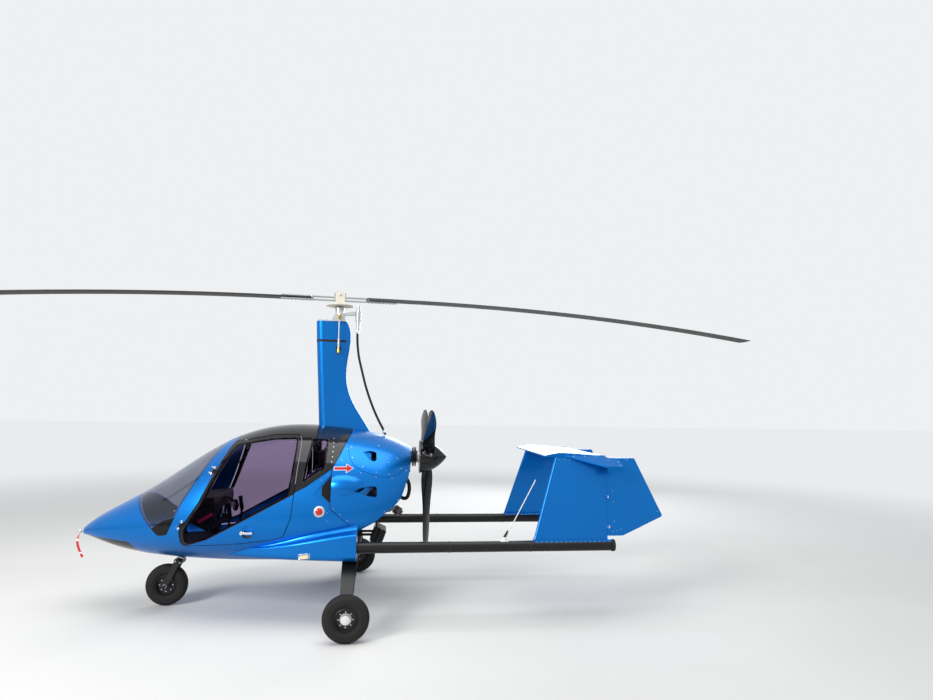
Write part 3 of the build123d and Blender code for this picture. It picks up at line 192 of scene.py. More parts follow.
BLUE = (0.001, 0.130, 0.46)
BLUE_LIGHT = (0.001, 0.210, 0.66)
BLACK = (0.006, 0.006, 0.008)
BLACK_DUSTY = (0.014, 0.014, 0.016)
BAND_WHITE = (0.74, 0.73, 0.70)
PAINT_METALLIC = 0.75


def paint_colour(finish):
    """Metallic blue with its fine flake and a slow drift of tone."""
    flake = finish.noise(900, 1, 0.5)
    drift = finish.noise(1.6, 2, 0.5)
    return finish.mix(flake * 0.35 + drift * 0.35, BLUE, BLUE_LIGHT)


def paint(name, black_share=None):
    """Metallic paint under a clear coat, glossy black where the share is 1."""
    finish = Finish(name)
    colour = paint_colour(finish)
    metallic = PAINT_METALLIC
    roughness = finish.noise(7, 3, 0.6) * 0.06 + 0.30
    if black_share:
        share = black_share(finish)
        colour = finish.mix(share, colour, BLACK)
        metallic = PAINT_METALLIC - share * PAINT_METALLIC
        roughness = roughness * (1 - share) + share * 0.08
    peel = finish.bump(finish.noise(260, 2, 0.5), 0.00004)
    shader = finish.principled(
        Base_Color=colour, Metallic=metallic, Roughness=roughness, Specular_IOR_Level=0.2, Coat_Weight=0.18,
        Coat_Roughness=0.04, Normal=peel
    )
    return finish.done(shader)


def gloss_black(name):
    """Polished black with a little dust."""
    finish = Finish(name)
    dust = finish.noise(14, 4, 0.6)
    colour = finish.mix(dust * 0.5, BLACK, BLACK_DUSTY)
    peel = finish.bump(finish.noise(220, 2, 0.5), 0.00003)
    shader = finish.principled(
        Base_Color=colour, Metallic=0.0, Roughness=dust * 0.06 + 0.07, Specular_IOR_Level=0.25, Coat_Weight=0.2,
        Coat_Roughness=0.02, Normal=peel
    )
    return finish.done(shader)


def satin(name, dark, light, metallic, roughness, grain=180, depth=0.00006, spread=0.12, coat=0.0):
    """A mottled finish for castings, moulded plastic, tube and rubber."""
    finish = Finish(name)
    cloud = finish.noise(9, 4, 0.6)
    colour = finish.mix(cloud, dark, light)
    relief = finish.bump(finish.noise(grain, 3, 0.6), depth)
    shader = finish.principled(
        Base_Color=colour,
        Metallic=metallic,
        Roughness=cloud * spread + (roughness - spread / 2),
        Specular_IOR_Level=0.28,
        Coat_Weight=coat * 0.5,
        Normal=relief,
    )
    return finish.done(shader)


def glazing(name, tint, mirror, least=0.0, mask=None):
    """Tinted clear plastic: seen through straight on, mirror-like at a slant, and opaque black where masked."""
    finish = Finish(name)
    clear = finish.node("ShaderNodeBsdfTransparent", {}, {"Color": (*tint, 1)})
    smear = finish.noise(5, 3, 0.6)
    colour, metallic = mirror, 1.0
    if mask:
        masked = mask(finish)
        colour = finish.mix(masked, mirror, BLACK)
        metallic = 1 - masked
    surface = finish.principled(
        Base_Color=colour,
        Metallic=metallic,
        Roughness=smear * 0.04 + 0.03,
        Specular_IOR_Level=0.2,
        Coat_Weight=0.0,
    )
    slant = finish.node("ShaderNodeLayerWeight", {}, {"Blend": 0.5}, output="Facing")
    share = slant**4 * 0.7 + least
    if mask:
        share = share.most(masked)
    shader = finish.node("ShaderNodeMixShader", {}, {0: share, 1: clear, 2: surface})
    return finish.done(shader)


def line_height(x, start, end):
    """Height over a straight line in side view, written for the shader's x."""
    slope = (end[1] - start[1]) / (end[0] - start[0])
    return x * slope + (start[1] - slope * start[0])


# Side-view places where a finish changes: x and z
BELT_FRONT = (-1.141, 0.619)
BELT_START = (-0.977, 0.674)
BELT_END = (-0.328, 1.025)
CHIN_TOP_FRONT = (-2.120, 0.636)
CHIN_TOP_REAR = (-1.680, 0.612)
CHIN_FRONT_X = -2.125
CHIN_REAR_SLOPE = 0.85
CHIN_REAR = -1.165
SCREEN_FOOT = [(-1.465, 0.783), (-1.357, 0.817), (-1.231, 0.905)]
SCREEN_FOOT_X = -1.50
RIBBON_BANDS = [(0.575, 0.010), (0.462, 0.008)]


def door_black(finish):
    """The door's frame is black above the belt line."""
    x, _, z = finish.xyz()
    belt = line_height(x, BELT_START, BELT_END)
    low = line_height(x, BELT_FRONT, BELT_START)
    over = (z - belt).least(z - low)
    return over.above(0.0, 0.001)


def chin_black(finish):
    """The chin is glossy black round its lens."""
    x, _, z = finish.xyz()
    under = (line_height(x, CHIN_TOP_FRONT, CHIN_TOP_REAR) - z).above(0.0, 0.001)
    corner = (x + z * CHIN_REAR_SLOPE - CHIN_REAR).below(0.0, 0.002)
    return under * corner * (x - CHIN_FRONT_X).above(0.0, 0.002)


def windscreen_mask(finish):
    """The windscreen's foot is blacked out behind the glass."""
    x, _, z = finish.xyz()
    first, second = [line_height(x, start, end) for start, end in zip(SCREEN_FOOT, SCREEN_FOOT[1:])]
    over = (z - first).most(z - second)
    return over.below(0.0, 0.001) * (x - SCREEN_FOOT_X).above(0.0, 0.001)


def woven(name, dark, light, threads=620, bands=None):
    """Cloth: threads over and under each other, with worn and fresh patches."""
    finish = Finish(name)
    x, y, z = finish.xyz()
    over = ((y * threads).sine() * (z * threads + x * threads).sine()) * 0.5 + 0.5
    fade = finish.noise(6, 3, 0.6)
    colour = finish.mix(over * 0.5 + fade * 0.5, dark, light)
    if bands:
        colour = finish.mix(bands(finish), colour, BAND_WHITE)
    relief = finish.bump(over, 0.00025)
    shader = finish.principled(
        Base_Color=colour,
        Roughness=fade * 0.1 + 0.78,
        Sheen_Weight=0.25,
        Specular_IOR_Level=0.25,
        Normal=relief,
    )
    return finish.done(shader)


def ribbon_bands(finish):
    """White bands across the ribbon's middle and near its foot."""
    _, _, z = finish.xyz()
    first, second = [abs(z - middle).below(half, 0.0008) for middle, half in RIBBON_BANDS]
    return first.most(second)


# Every finish with the slot that it belongs to
FINISHES = {
    "paint": ("body_blue", paint("blue_paint")),
    "door_paint": ("body_blue", paint("door_paint", door_black)),
    "tub_paint": ("body_blue", paint("tub_paint", chin_black)),
    "gloss_black": ("roof_black", gloss_black("gloss_black")),
    "windscreen": (
        "smoke_glazing",
        glazing("smoked_windscreen", (0.70, 0.71, 0.76), (0.74, 0.78, 0.86), 0.06, windscreen_mask),
    ),
    "tint": ("tinted_glazing", glazing("violet_glazing", (0.70, 0.65, 0.74), (0.40, 0.40, 0.46))),
    "dark_lens": ("smoke_glazing", glazing("dark_lens", (0.20, 0.16, 0.17), (0.16, 0.14, 0.15), 0.30)),
    "matt_black": (
        "cabin_black",
        satin("matt_black", (0.012, 0.012, 0.013), (0.018, 0.018, 0.020), 0.0, 0.66, spread=0.04),
    ),
    "black_tube": (
        "black_tube",
        satin("black_tube", (0.005, 0.005, 0.005), (0.010, 0.010, 0.010), 0.1, 0.36, coat=0.2),
    ),
    "black_steel": (
        "black_steel",
        satin("black_steel", (0.014, 0.014, 0.015), (0.026, 0.026, 0.027), 0.3, 0.42, coat=0.2),
    ),
    "rubber": (
        "tyre_rubber",
        satin("rubber", (0.008, 0.008, 0.008), (0.019, 0.018, 0.017), 0.0, 0.78, grain=420, depth=0.0001),
    ),
    "aluminium": ("bare_aluminium", satin("aluminium", (0.50, 0.51, 0.52), (0.66, 0.67, 0.68), 0.9, 0.34)),
    "cream": ("tower_cream", satin("cream_paint", (0.62, 0.59, 0.50), (0.70, 0.67, 0.58), 0.0, 0.42)),
    "chrome": (
        "chrome_fittings",
        satin("chrome", (0.75, 0.75, 0.77), (0.85, 0.85, 0.86), 1.0, 0.09, spread=0.04),
    ),
    "blade": (
        "blade_skin",
        satin("rotor_blade", (0.030, 0.026, 0.024), (0.055, 0.050, 0.047), 0.2, 0.42, grain=60),
    ),
    "casting": (
        "engine_casting",
        satin("engine_casting", (0.05, 0.05, 0.052), (0.12, 0.12, 0.125), 0.6, 0.55, grain=300),
    ),
    "hot_steel": (
        "exhaust_steel",
        satin("exhaust_steel", (0.10, 0.085, 0.075), (0.24, 0.22, 0.21), 0.9, 0.45, grain=120),
    ),
    "white": (
        "antenna_white",
        satin("antenna_white", (0.74, 0.74, 0.73), (0.82, 0.82, 0.81), 0.0, 0.35, coat=0.4),
    ),
    "red": ("cap_red", satin("signal_red", (0.42, 0.010, 0.012), (0.55, 0.016, 0.016), 0.0, 0.30, coat=0.5)),
    "red_gloss": (
        "cap_red",
        satin("red_plastic", (0.46, 0.012, 0.012), (0.60, 0.020, 0.018), 0.0, 0.20, coat=0.9),
    ),
    "screw": (
        "chrome_fittings",
        satin("plated_screw", (0.42, 0.42, 0.43), (0.62, 0.62, 0.62), 1.0, 0.28, grain=900, spread=0.08),
    ),
    "seal": ("shaft_rubber", satin("black_seal", (0.008, 0.008, 0.009), (0.016, 0.016, 0.017), 0.0, 0.50)),
    # Near-black sheets that paint the shade inside the duct mouths, the intake recess and the mast's slots
    "painted_shade": ("cabin_black", satin("painted_inner_shade", (0.003, 0.003, 0.0035), (0.006, 0.006, 0.0065), 0.0, 0.85)),
    "gold": (
        "chrome_fittings",
        satin("gold_anodised", (0.62, 0.40, 0.06), (0.74, 0.50, 0.10), 1.0, 0.24, grain=500),
    ),
    "hub_white": (
        "antenna_white",
        satin("hub_cap_enamel", (0.66, 0.66, 0.65), (0.76, 0.76, 0.75), 0.0, 0.30, coat=0.5),
    ),
    "seat": ("seat_cover", woven("seat_fabric", (0.012, 0.012, 0.014), (0.030, 0.030, 0.034))),
    "seat_blue": ("seat_cover", woven("seat_fabric_blue", (0.006, 0.060, 0.30), (0.012, 0.100, 0.42))),
    "webbing": ("seat_cover", woven("harness_webbing", (0.030, 0.030, 0.034), (0.070, 0.070, 0.075), 900)),
    "ribbon": (
        "ribbon_red",
        woven("ribbon_cloth", (0.46, 0.012, 0.014), (0.60, 0.022, 0.020), 1400, ribbon_bands),
    ),
    "dial_black": (
        "cabin_black",
        satin("dial_black", (0.006, 0.006, 0.007), (0.014, 0.014, 0.015), 0.0, 0.32, coat=0.8),
    ),
    "dial_white": (
        "antenna_white",
        satin("dial_white", (0.72, 0.72, 0.70), (0.80, 0.80, 0.78), 0.0, 0.35, coat=0.6),
    ),
    "screen": (
        "smoke_glazing",
        satin("display_glass", (0.004, 0.010, 0.018), (0.010, 0.026, 0.045), 0.0, 0.08, coat=1.0),
    ),
    "magenta": (
        "ribbon_red",
        satin("magenta_strip", (0.78, 0.012, 0.13), (0.88, 0.020, 0.17), 0.0, 0.36, coat=0.4),
    ),
    "lamp": ("lamp_lens", satin("lamp_lens", (0.80, 0.66, 0.34), (0.88, 0.78, 0.52), 0.0, 0.14, coat=1.0)),
}

# The CAD nodes that wear each finish
NODE_FINISHES = {
    "tub_paint": ["cabin_tub"],
    "paint": [
        "engine_cowling", "sponson_left", "sponson_right", "mast_fairing", "fin_left", "fin_right", "stabiliser",
        "left_rudder", "right_rudder", "engine_hatch",
    ],
    "door_paint": ["left_door", "right_door"],
    "gloss_black": ["cabin_roof", "propeller_spinner", "propeller_blades"],
    "windscreen": ["windscreen"],
    "tint": ["quarter_windows", "left_door_window", "right_door_window"],
    "dark_lens": ["chin_lens"],
    "matt_black": ["firewall", "cabin_floor", "instrument_panel", "control_sticks", "seats", "oil_cooler"],
    "casting": ["engine_block", "engine_gearbox", "carburettors"],
    "black_steel": ["engine_mount", "axles", "nose_leg_collar", "nose_fork", "nose_rim", "left_rim", "right_rim"],
    "hot_steel": ["exhaust"],
    "aluminium": ["rotor_head", "prerotator", "control_rods", "pitot_tube", "hub_bar", "propeller_hub"],
    "rubber": ["prerotator_shaft", "nose_tyre", "left_tyre", "right_tyre"],
    "black_tube": ["main_gear_bow", "boom_left", "boom_right"],
    "white": ["antenna"],
    "red": ["fuel_cap", "pitot_ribbon"],
    "lamp": ["nav_lights"],
    "cream": ["rotor_tower"],
    "blade": ["rotor_blades"],
    "chrome": ["door_hinges"],
}


def dress_nodes():
    """Gives every CAD node its finish."""
    for finish, names in NODE_FINISHES.items():
        for name in names:
            materials = NODES[name].data.materials
            materials.clear()
            materials.append(FINISHES[finish][1])


# Ways of making a piece
def unit(vector):
    return Vector(vector).normalized()


def square_to(axis):
    """Two directions at right angles to an axis and to each other."""
    axis = unit(axis)
    helper = Vector((0, 0, 1)) if abs(axis.z) < 0.9 else Vector((1, 0, 0))
    first = axis.cross(helper).normalized()
    return first, axis.cross(first).normalized()


class Shape:
    """Points and faces gathered for one piece."""

    def __init__(self):
        self.points = []
        self.faces = []

    def add(self, points, faces):
        start = len(self.points)
        self.points += [Vector(point) for point in points]
        self.faces += [[start + index for index in face] for face in faces]
        return self

    def lathe(self, foot, axis, profile, sides=40):
        """Turns a profile of radius and height about an axis; a radius of 0 closes an end."""
        foot, axis = Vector(foot), unit(axis)
        first, second = square_to(axis)
        points, rings = [], []
        for radius, height in profile:
            centre = foot + axis * height
            if radius == 0:
                rings.append([len(points)])
                points.append(centre)
                continue
            ring = []
            for k in range(sides):
                angle = 2 * math.pi * k / sides
                ring.append(len(points))
                points.append(centre + (first * math.cos(angle) + second * math.sin(angle)) * radius)
            rings.append(ring)
        faces = []
        for low, high in zip(rings, rings[1:]):
            for k in range(sides):
                after = (k + 1) % sides
                if len(low) == 1:
                    faces.append([low[0], high[after], high[k]])
                elif len(high) == 1:
                    faces.append([low[k], low[after], high[0]])
                else:
                    faces.append([low[k], low[after], high[after], high[k]])
        return self.add(points, faces)

    def tube(self, path, radius, sides=12):
        """A round bar along a path, closed at its ends; radius is one number or one for each point."""
        path = [Vector(point) for point in path]
        radii = radius if isinstance(radius, (list, tuple)) else [radius] * len(path)
        first, _ = square_to(path[1] - path[0])
        points, faces = [], []
        for k, point in enumerate(path):
            before, after = path[max(k - 1, 0)], path[min(k + 1, len(path) - 1)]
            along = (after - before).normalized()
            first = (first - along * first.dot(along)).normalized()
            second = along.cross(first)
            for j in range(sides):
                angle = 2 * math.pi * j / sides
                points.append(point + (first * math.cos(angle) + second * math.sin(angle)) * radii[k])
        for k in range(len(path) - 1):
            for j in range(sides):
                after = (j + 1) % sides
                faces.append([k * sides + j, k * sides + after, (k + 1) * sides + after, (k + 1) * sides + j])
        faces.append(list(range(sides))[::-1])
        faces.append([(len(path) - 1) * sides + j for j in range(sides)])
        return self.add(points, faces)

    def slab(self, low, high, edge=0.002, turn=None):
        """A block with rounded edges, turned about its middle."""
        low, high = Vector(low), Vector(high)
        middle = (low + high) / 2
        block = bmesh.new()
        bmesh.ops.create_cube(block, size=1)
        for vertex in block.verts:
            vertex.co = Vector([vertex.co[i] * (high[i] - low[i]) for i in range(3)])
        if edge:
            bmesh.ops.bevel(block, geom=block.edges[:], offset=edge, segments=2, profile=0.5, affect="EDGES")
        turn = turn or Matrix.Identity(3)
        block.verts.index_update()
        points = [middle + turn @ vertex.co for vertex in block.verts]
        faces = [[vertex.index for vertex in face.verts] for face in block.faces]
        block.free()
        return self.add(points, faces)

    def plate(self, top_rows, under_rows):
        """A closed plate between two sheets of the same grid."""
        rows, count = len(top_rows), len(top_rows[0])
        points = [p for row in top_rows for p in row] + [p for row in under_rows for p in row]
        half = rows * count
        faces = []
        for i in range(rows - 1):
            for j in range(count - 1):
                a = i * count + j
                faces.append([a, a + 1, a + count + 1, a + count])
                faces.append([half + a, half + a + count, half + a + count + 1, half + a + 1])
        rim = list(range(count))
        rim += [i * count + count - 1 for i in range(1, rows)]
        rim += [(rows - 1) * count + j for j in range(count - 2, -1, -1)]
        rim += [i * count for i in range(rows - 2, 0, -1)]
        faces += [[a, half + a, half + b, b] for a, b in zip(rim, rim[1:] + rim[:1])]
        return self.add(points, faces)

    def prism(self, outline, near, far):
        """A straight block of one side-view outline, between two distances from the middle."""
        points = [Vector((x, y, z)) for y in (near, far) for x, z in outline]
        count = len(outline)
        faces = [list(range(count)), list(range(2 * count - 1, count - 1, -1))]
        faces += [[k, count + k, count + (k + 1) % count, (k + 1) % count] for k in range(count)]
        return self.add(points, faces)

    def piece(self, name, finish, body="airframe", sharp=35, merge=0.00001):
        """Makes the piece and hangs it on its body."""
        mesh = bpy.data.meshes.new(name)
        mesh.from_pydata(self.points, [], self.faces)
        work = bmesh.new()
        work.from_mesh(mesh)
        bmesh.ops.remove_doubles(work, verts=work.verts, dist=merge)
        bmesh.ops.recalc_face_normals(work, faces=work.faces)
        work.to_mesh(mesh)
        work.free()
        return add_piece(name, mesh, finish, body, sharp)


def add_piece(name, mesh, finish, body, sharp):
    mesh.shade_smooth()
    mesh.set_sharp_from_angle(angle=math.radians(sharp))
    mesh.materials.clear()
    slot, material = FINISHES[finish]
    mesh.materials.append(material)
    piece = bpy.data.objects.new(name, mesh)
    SCENE.collection.objects.link(piece)
    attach(piece, body)
    return piece


class Skin:
    """Where the outside of some nodes stands, found by looking at them from one side."""

    def __init__(self, *names):
        points, faces = [], []
        for name in names:
            mesh = NODES[name].data
            start = len(points)
            points += [vertex.co.copy() for vertex in mesh.vertices]
            faces += [[start + index for index in face.vertices] for face in mesh.polygons]
        self.tree = BVHTree.FromPolygons(points, faces)

    def look(self, start, direction):
        place, normal, _, _ = self.tree.ray_cast(Vector(start), unit(direction))
        if place is None:
            return None, None
        if normal.dot(Vector(direction)) > 0:
            normal = -normal
        return place, normal

    def side(self, x, z, side=-1):
        return self.look((x, side * 3, z), (0, -side, 0))


FILM = 0.0007
FILM_SINK = 0.0015
LINE_STEP = 0.02
BODY_SKIN = Skin(
    "cabin_tub", "cabin_roof", "engine_cowling", "engine_hatch", "left_door", "right_door", "windscreen",
    "left_door_window", "right_door_window", "quarter_windows",
)


def spread(points, step):
    """Points at even steps along straight runs."""
    result = []
    for (x, z), (x2, z2) in zip(points, points[1:]):
        count = max(1, round(math.hypot(x2 - x, z2 - z) / step))
        result += [(x + (x2 - x) * k / count, z + (z2 - z) * k / count) for k in range(count)]
    return result + [points[-1]]


def film(shape, stations, side, height, rows=4):
    """Adds a thin film on the body's side; each station is an upper and a lower point in side view."""
    top, under = [], []
    for (x_a, z_a), (x_b, z_b) in stations:
        top_row, under_row = [], []
        for k in range(rows + 1):
            share = k / rows
            place, normal = BODY_SKIN.side(x_a + (x_b - x_a) * share, z_a + (z_b - z_a) * share, side)
            top_row.append(place + normal * height)
            under_row.append(place - normal * FILM_SINK)
        top.append(top_row)
        under.append(under_row)
    return shape.plate(top, under)


def line_on_side(shape, points, side, width):
    """A narrow line along a side-view route."""
    route = spread(points, LINE_STEP)
    stations = []
    for k, (x, z) in enumerate(route):
        x0, z0 = route[max(k - 1, 0)]
        x1, z1 = route[min(k + 1, len(route) - 1)]
        length = math.hypot(x1 - x0, z1 - z0)
        across = (-(z1 - z0) / length * width / 2, (x1 - x0) / length * width / 2)
        stations.append(((x + across[0], z + across[1]), (x - across[0], z - across[1])))
    return film(shape, stations, side, FILM, 2)


def repeat_tree(name, solid_kind, sizes):
    """Places one small solid on every point, standing along the point's own direction.

    Each size is an input's name, its socket type, its first value and the solid's socket that it feeds.
    """
    tree = bpy.data.node_groups.new(name, "GeometryNodeTree")
    new_socket = tree.interface.new_socket
    new_socket("Places", in_out="INPUT", socket_type="NodeSocketGeometry")
    labels = {}
    for label, kind, value, _ in sizes:
        socket = new_socket(label, in_out="INPUT", socket_type=kind)
        socket.default_value = value
        labels[label] = socket.identifier
    labels["Finish"] = new_socket("Finish", in_out="INPUT", socket_type="NodeSocketMaterial").identifier
    new_socket("Pieces", in_out="OUTPUT", socket_type="NodeSocketGeometry")
    nodes = {
        key: tree.nodes.new(kind) for key, kind in (
            ("given", "NodeGroupInput"), ("solid", solid_kind), ("aim", "GeometryNodeInputNamedAttribute"),
            ("turn", "FunctionNodeAlignRotationToVector"), ("copies", "GeometryNodeInstanceOnPoints"),
            ("real", "GeometryNodeRealizeInstances"), ("finish", "GeometryNodeSetMaterial"),
            ("result", "NodeGroupOutput"),
        )
    }
    nodes["aim"].data_type = "FLOAT_VECTOR"
    nodes["aim"].inputs["Name"].default_value = "aim"
    nodes["turn"].axis = "Z"
    links = [("given", label, "solid", socket) for label, _, _, socket in sizes]
    links += [
        ("aim", "Attribute", "turn", "Vector"), ("given", "Places", "copies", "Points"),
        ("solid", "Mesh", "copies", "Instance"), ("turn", "Rotation", "copies", "Rotation"),
        ("copies", "Instances", "real", "Geometry"), ("real", "Geometry", "finish", "Geometry"),
        ("given", "Finish", "finish", "Material"), ("finish", "Geometry", "result", "Pieces"),
    ]
    for source, output, target, socket in links:
        tree.links.new(nodes[source].outputs[output], nodes[target].inputs[socket])
    return tree, labels


STUD_TREE = repeat_tree("studs", "GeometryNodeMeshCone", [
    ("Radius", "NodeSocketFloat", 0.004, "Radius Bottom"),
    ("Top Radius", "NodeSocketFloat", 0.003, "Radius Top"),
    ("Height", "NodeSocketFloat", 0.002, "Depth"),
    ("Sides", "NodeSocketInt", 10, "Vertices"),
])
SLAT_TREE = repeat_tree("slats", "GeometryNodeMeshCube", [
    ("Size", "NodeSocketVector", (0.01, 0.01, 0.01), "Size"),
])


def repeated(name, body, finish, places, made_tree, values):
    """Runs a tree of repeated solids on places given as a point and the way it faces."""
    tree, sockets = made_tree
    mesh = bpy.data.meshes.new(name)
    mesh.from_pydata([Vector(point) for point, _ in places], [], [])
    aim = mesh.attributes.new("aim", "FLOAT_VECTOR", "POINT")
    aim.data.foreach_set("vector", [value for _, way in places for value in unit(way)])
    seat = bpy.data.objects.new(name + "_places", mesh)
    SCENE.collection.objects.link(seat)
    modifier = seat.modifiers.new("repeat", "NODES")
    modifier.node_group = tree
    for label, value in values.items():
        modifier[sockets[label]] = value
    modifier[sockets["Finish"]] = FINISHES[finish][1]
    seen = bpy.context.evaluated_depsgraph_get()
    copies = bpy.data.meshes.new_from_object(seat.evaluated_get(seen), depsgraph=seen)
    copies.name = name
    bpy.data.objects.remove(seat)
    return add_piece(name, copies, finish, body, 30)


# Shapes of a fastener's head: the top's radius as a share of the foot's, and the number of sides
ROUND = (0.75, 10)
HEX = (0.9, 6)
HEX_SHARP = (0.92, 6)
HEX_SOFT = (0.8, 6)


def studs(name, places, radius, height, head=ROUND, body="airframe"):
    """Fastener heads of one kind at places given as a point and the way it faces."""
    top, sides = head
    values = {"Radius": radius, "Top Radius": radius * top, "Height": height, "Sides": sides}
    return repeated(name, body, "screw", places, STUD_TREE, values)


def slats(name, finish, places, size):
    """Small blocks of one size at places given as a point and the way it faces."""
    return repeated(name, "airframe", finish, places, SLAT_TREE, {"Size": size})


def ring_of(centre, axis, radius, count, start=0.0):
    """Points evenly round an axis, all facing along it."""
    centre, axis = Vector(centre), unit(axis)
    first, second = square_to(axis)
    places = []
    for k in range(count):
        angle = 2 * math.pi * k / count + start
        places.append((centre + (first * math.cos(angle) + second * math.sin(angle)) * radius, axis))
    return places


# Fasteners on the body's sides: places in side view, then each head's radius and height
BODY_SCREWS = {
    "pillar_screws": ([
        (0.010, 1.500), (0.014, 1.466), (0.016, 1.430), (0.017, 1.392), (0.016, 1.351), (0.013, 1.312),
    ], 0.0055, 0.0022),
    "cowl_screws": ([
        (0.181, 1.519), (0.137, 1.417), (0.096, 1.326), (0.048, 0.936), (0.103, 0.890), (0.166, 0.836),
        (0.226, 0.786), (0.262, 1.222), (0.392, 1.186), (0.530, 1.170), (0.655, 1.225), (0.470, 0.895),
        (0.585, 0.985), (0.650, 1.110), (0.184, 1.345), (0.276, 1.268), (0.395, 1.224), (0.505, 1.204),
        (0.610, 1.246), (0.575, 1.330), (0.406, 1.437), (0.500, 1.300), (0.170, 1.430),
    ], 0.0048, 0.0018),
    "tub_screws": ([
        (-0.006, 1.205), (-0.060, 1.165), (0.002, 0.905), (0.002, 0.840), (-1.230, 0.560), (-1.260, 0.900),
    ], 0.0042, 0.0016),
}


def add_body_screws():
    for name, side in SIDES:
        for kind, (places, radius, height) in BODY_SCREWS.items():
            studs(f"{kind}_{name}", [BODY_SKIN.side(x, z, side) for x, z in places], radius, height)


# The arrow behind each door: heights and lengths in side view
ARROW_Z = 1.258
ARROW_TAIL = 0.040
ARROW_NECK = 0.142
ARROW_TIP = 0.194
ARROW_SHAFT = 0.011
ARROW_HEAD = 0.031
ARROW_RIM = 0.004
ARROW_POINT = 0.0005
TIP_GROWTH = 1.6
HEAD_STEPS = 4


def arrow_stations(grow):
    """The arrow's shaft and its head, each as stations, with an even rim added all round."""
    neck = ARROW_NECK - grow
    half = ARROW_SHAFT + grow
    stations = (ARROW_TAIL - grow, (ARROW_TAIL + neck) / 2, neck)
    shaft = [((x, ARROW_Z + half), (x, ARROW_Z - half)) for x in stations]
    head = []
    tip = ARROW_TIP + TIP_GROWTH * grow
    for k in range(HEAD_STEPS + 1):
        share = k / HEAD_STEPS
        x = neck + (tip - neck) * k / HEAD_STEPS
        half = (ARROW_HEAD + TIP_GROWTH * grow) * (1 - share) + ARROW_POINT
        head.append(((x, ARROW_Z + half), (x, ARROW_Z - half)))
    return shaft, head


def add_arrows():
    """The red arrow with a white rim behind each door, pointing aft."""
    for name, side in SIDES:
        for label, grow, finish, height in (("rim", ARROW_RIM, "white", FILM), ("field", 0.0, "red", 2 * FILM)):
            shape = Shape()
            for stations in arrow_stations(grow):
                film(shape, stations, side, height)
            shape.piece(f"arrow_{label}_{name}", finish)


def rounded(outline, steps=6):
    """A side-view outline of x, z and corner radius, as closed points."""
    points = []
    count = len(outline)
    for k in range(count):
        radius = outline[k][2]
        corner = Vector(outline[k][:2])
        if radius == 0:
            points.append((corner.x, corner.y))
            continue
        back = Vector(outline[k - 1][:2]) - corner
        ahead = Vector(outline[(k + 1) % count][:2]) - corner
        half = back.angle(ahead) / 2
        reach = min(radius / math.tan(half), 0.48 * back.length, 0.48 * ahead.length)
        start, end = corner + back.normalized() * reach, corner + ahead.normalized() * reach
        for step in range(steps + 1):
            t = step / steps
            place = start * (1 - t) ** 2 + corner * 2 * t * (1 - t) + end * t**2
            points.append((place.x, place.y))
    return points


# Outlines of the panes: x, z and corner radius
SEAL_WIDTH = 0.006
DOOR_WINDOW = [
    (-0.826, 1.442, 0.030), (-0.928, 1.235, 0), (-1.030, 0.985, 0.200), (-1.170, 0.757, 0.060),
    (-1.172, 0.614, 0.050), (-0.977, 0.678, 0), (-0.322, 1.032, 0.014), (-0.300, 1.166, 0.200),
    (-0.286, 1.400, 0.200), (-0.290, 1.508, 0.030), (-0.500, 1.500, 0.400),
]
QUARTER_WINDOW = [(-0.222, 1.140, 0.012), (-0.036, 1.262, 0.014), (-0.030, 1.492, 0.014), (-0.170, 1.500, 0.014)]


def add_seals():
    """Thin rubber round each pane, in the joint between it and its frame."""
    for name, side in SIDES:
        for label, outline, body in (
            ("door_seal", DOOR_WINDOW, f"{name}_door"), ("quarter_seal", QUARTER_WINDOW, "airframe")
        ):
            route = rounded(outline)
            shape = Shape()
            line_on_side(shape, route + [route[0]], side, SEAL_WIDTH)
            shape.piece(f"{label}_{name}", "seal", body)


# Painted shade: near-black plates at each flush duct's rear end from top to foot, and a near-black film over the
# shaded recess ahead of the bulge
DUCT_MOUTHS = [((0.3865, 1.378), (0.3925, 1.312)), ((0.3985, 1.100), (0.4060, 1.024))]
DUCT_DEPTH = 0.036
DUCT_LIP = 0.003
BULGE_SHADE_FRONT = (-0.052, 1.112, 1.046)
BULGE_SHADE_GROWTH = (0.069, 0.086, -0.066)


def add_mouth_shades():
    for name, side in SIDES:
        duct_shades = Shape()
        for (x_top, z_top), (x_low, z_low) in DUCT_MOUTHS:
            top, under = [], []
            for k in range(7):
                x = x_top + (x_low - x_top) * k / 6
                z = z_top + (z_low - z_top) * k / 6
                depth = DUCT_DEPTH * math.sqrt(max(0.0, 1 - ((k - 3) / 3.4) ** 4))
                place, _ = BODY_SKIN.side(x + 0.006, z, side)
                sunk = [-side * (DUCT_LIP + depth * j / 4) for j in range(5)]
                top.append([place + Vector((-0.0075, y, 0)) for y in sunk])
                under.append([place + Vector((-0.0035, y, 0)) for y in sunk])
            duct_shades.plate(top, under)
        # The sunk near-black plates paint the shade inside each duct's opening
        duct_shades.piece(f"duct_mouth_shades_{name}", "painted_shade")
        stations = []
        for k in range(9):
            x, high, low = [first + growth * k / 8 for first, growth in zip(BULGE_SHADE_FRONT, BULGE_SHADE_GROWTH)]
            stations.append(((x, high), (x, low)))
        # A near-black film over the recess ahead of the bulge paints the shade that falls in it
        film(Shape(), stations, side, FILM, 8).piece(f"intake_recess_shade_{name}", "painted_shade")


# Fuel cap
CAP_X, CAP_Z = -0.064, 0.914
CAP_RING = 0.044
CAP_GRIP_HALF = Vector((0.020, 0.004, 0.0035))
CAP_GRIP_TURN = 32


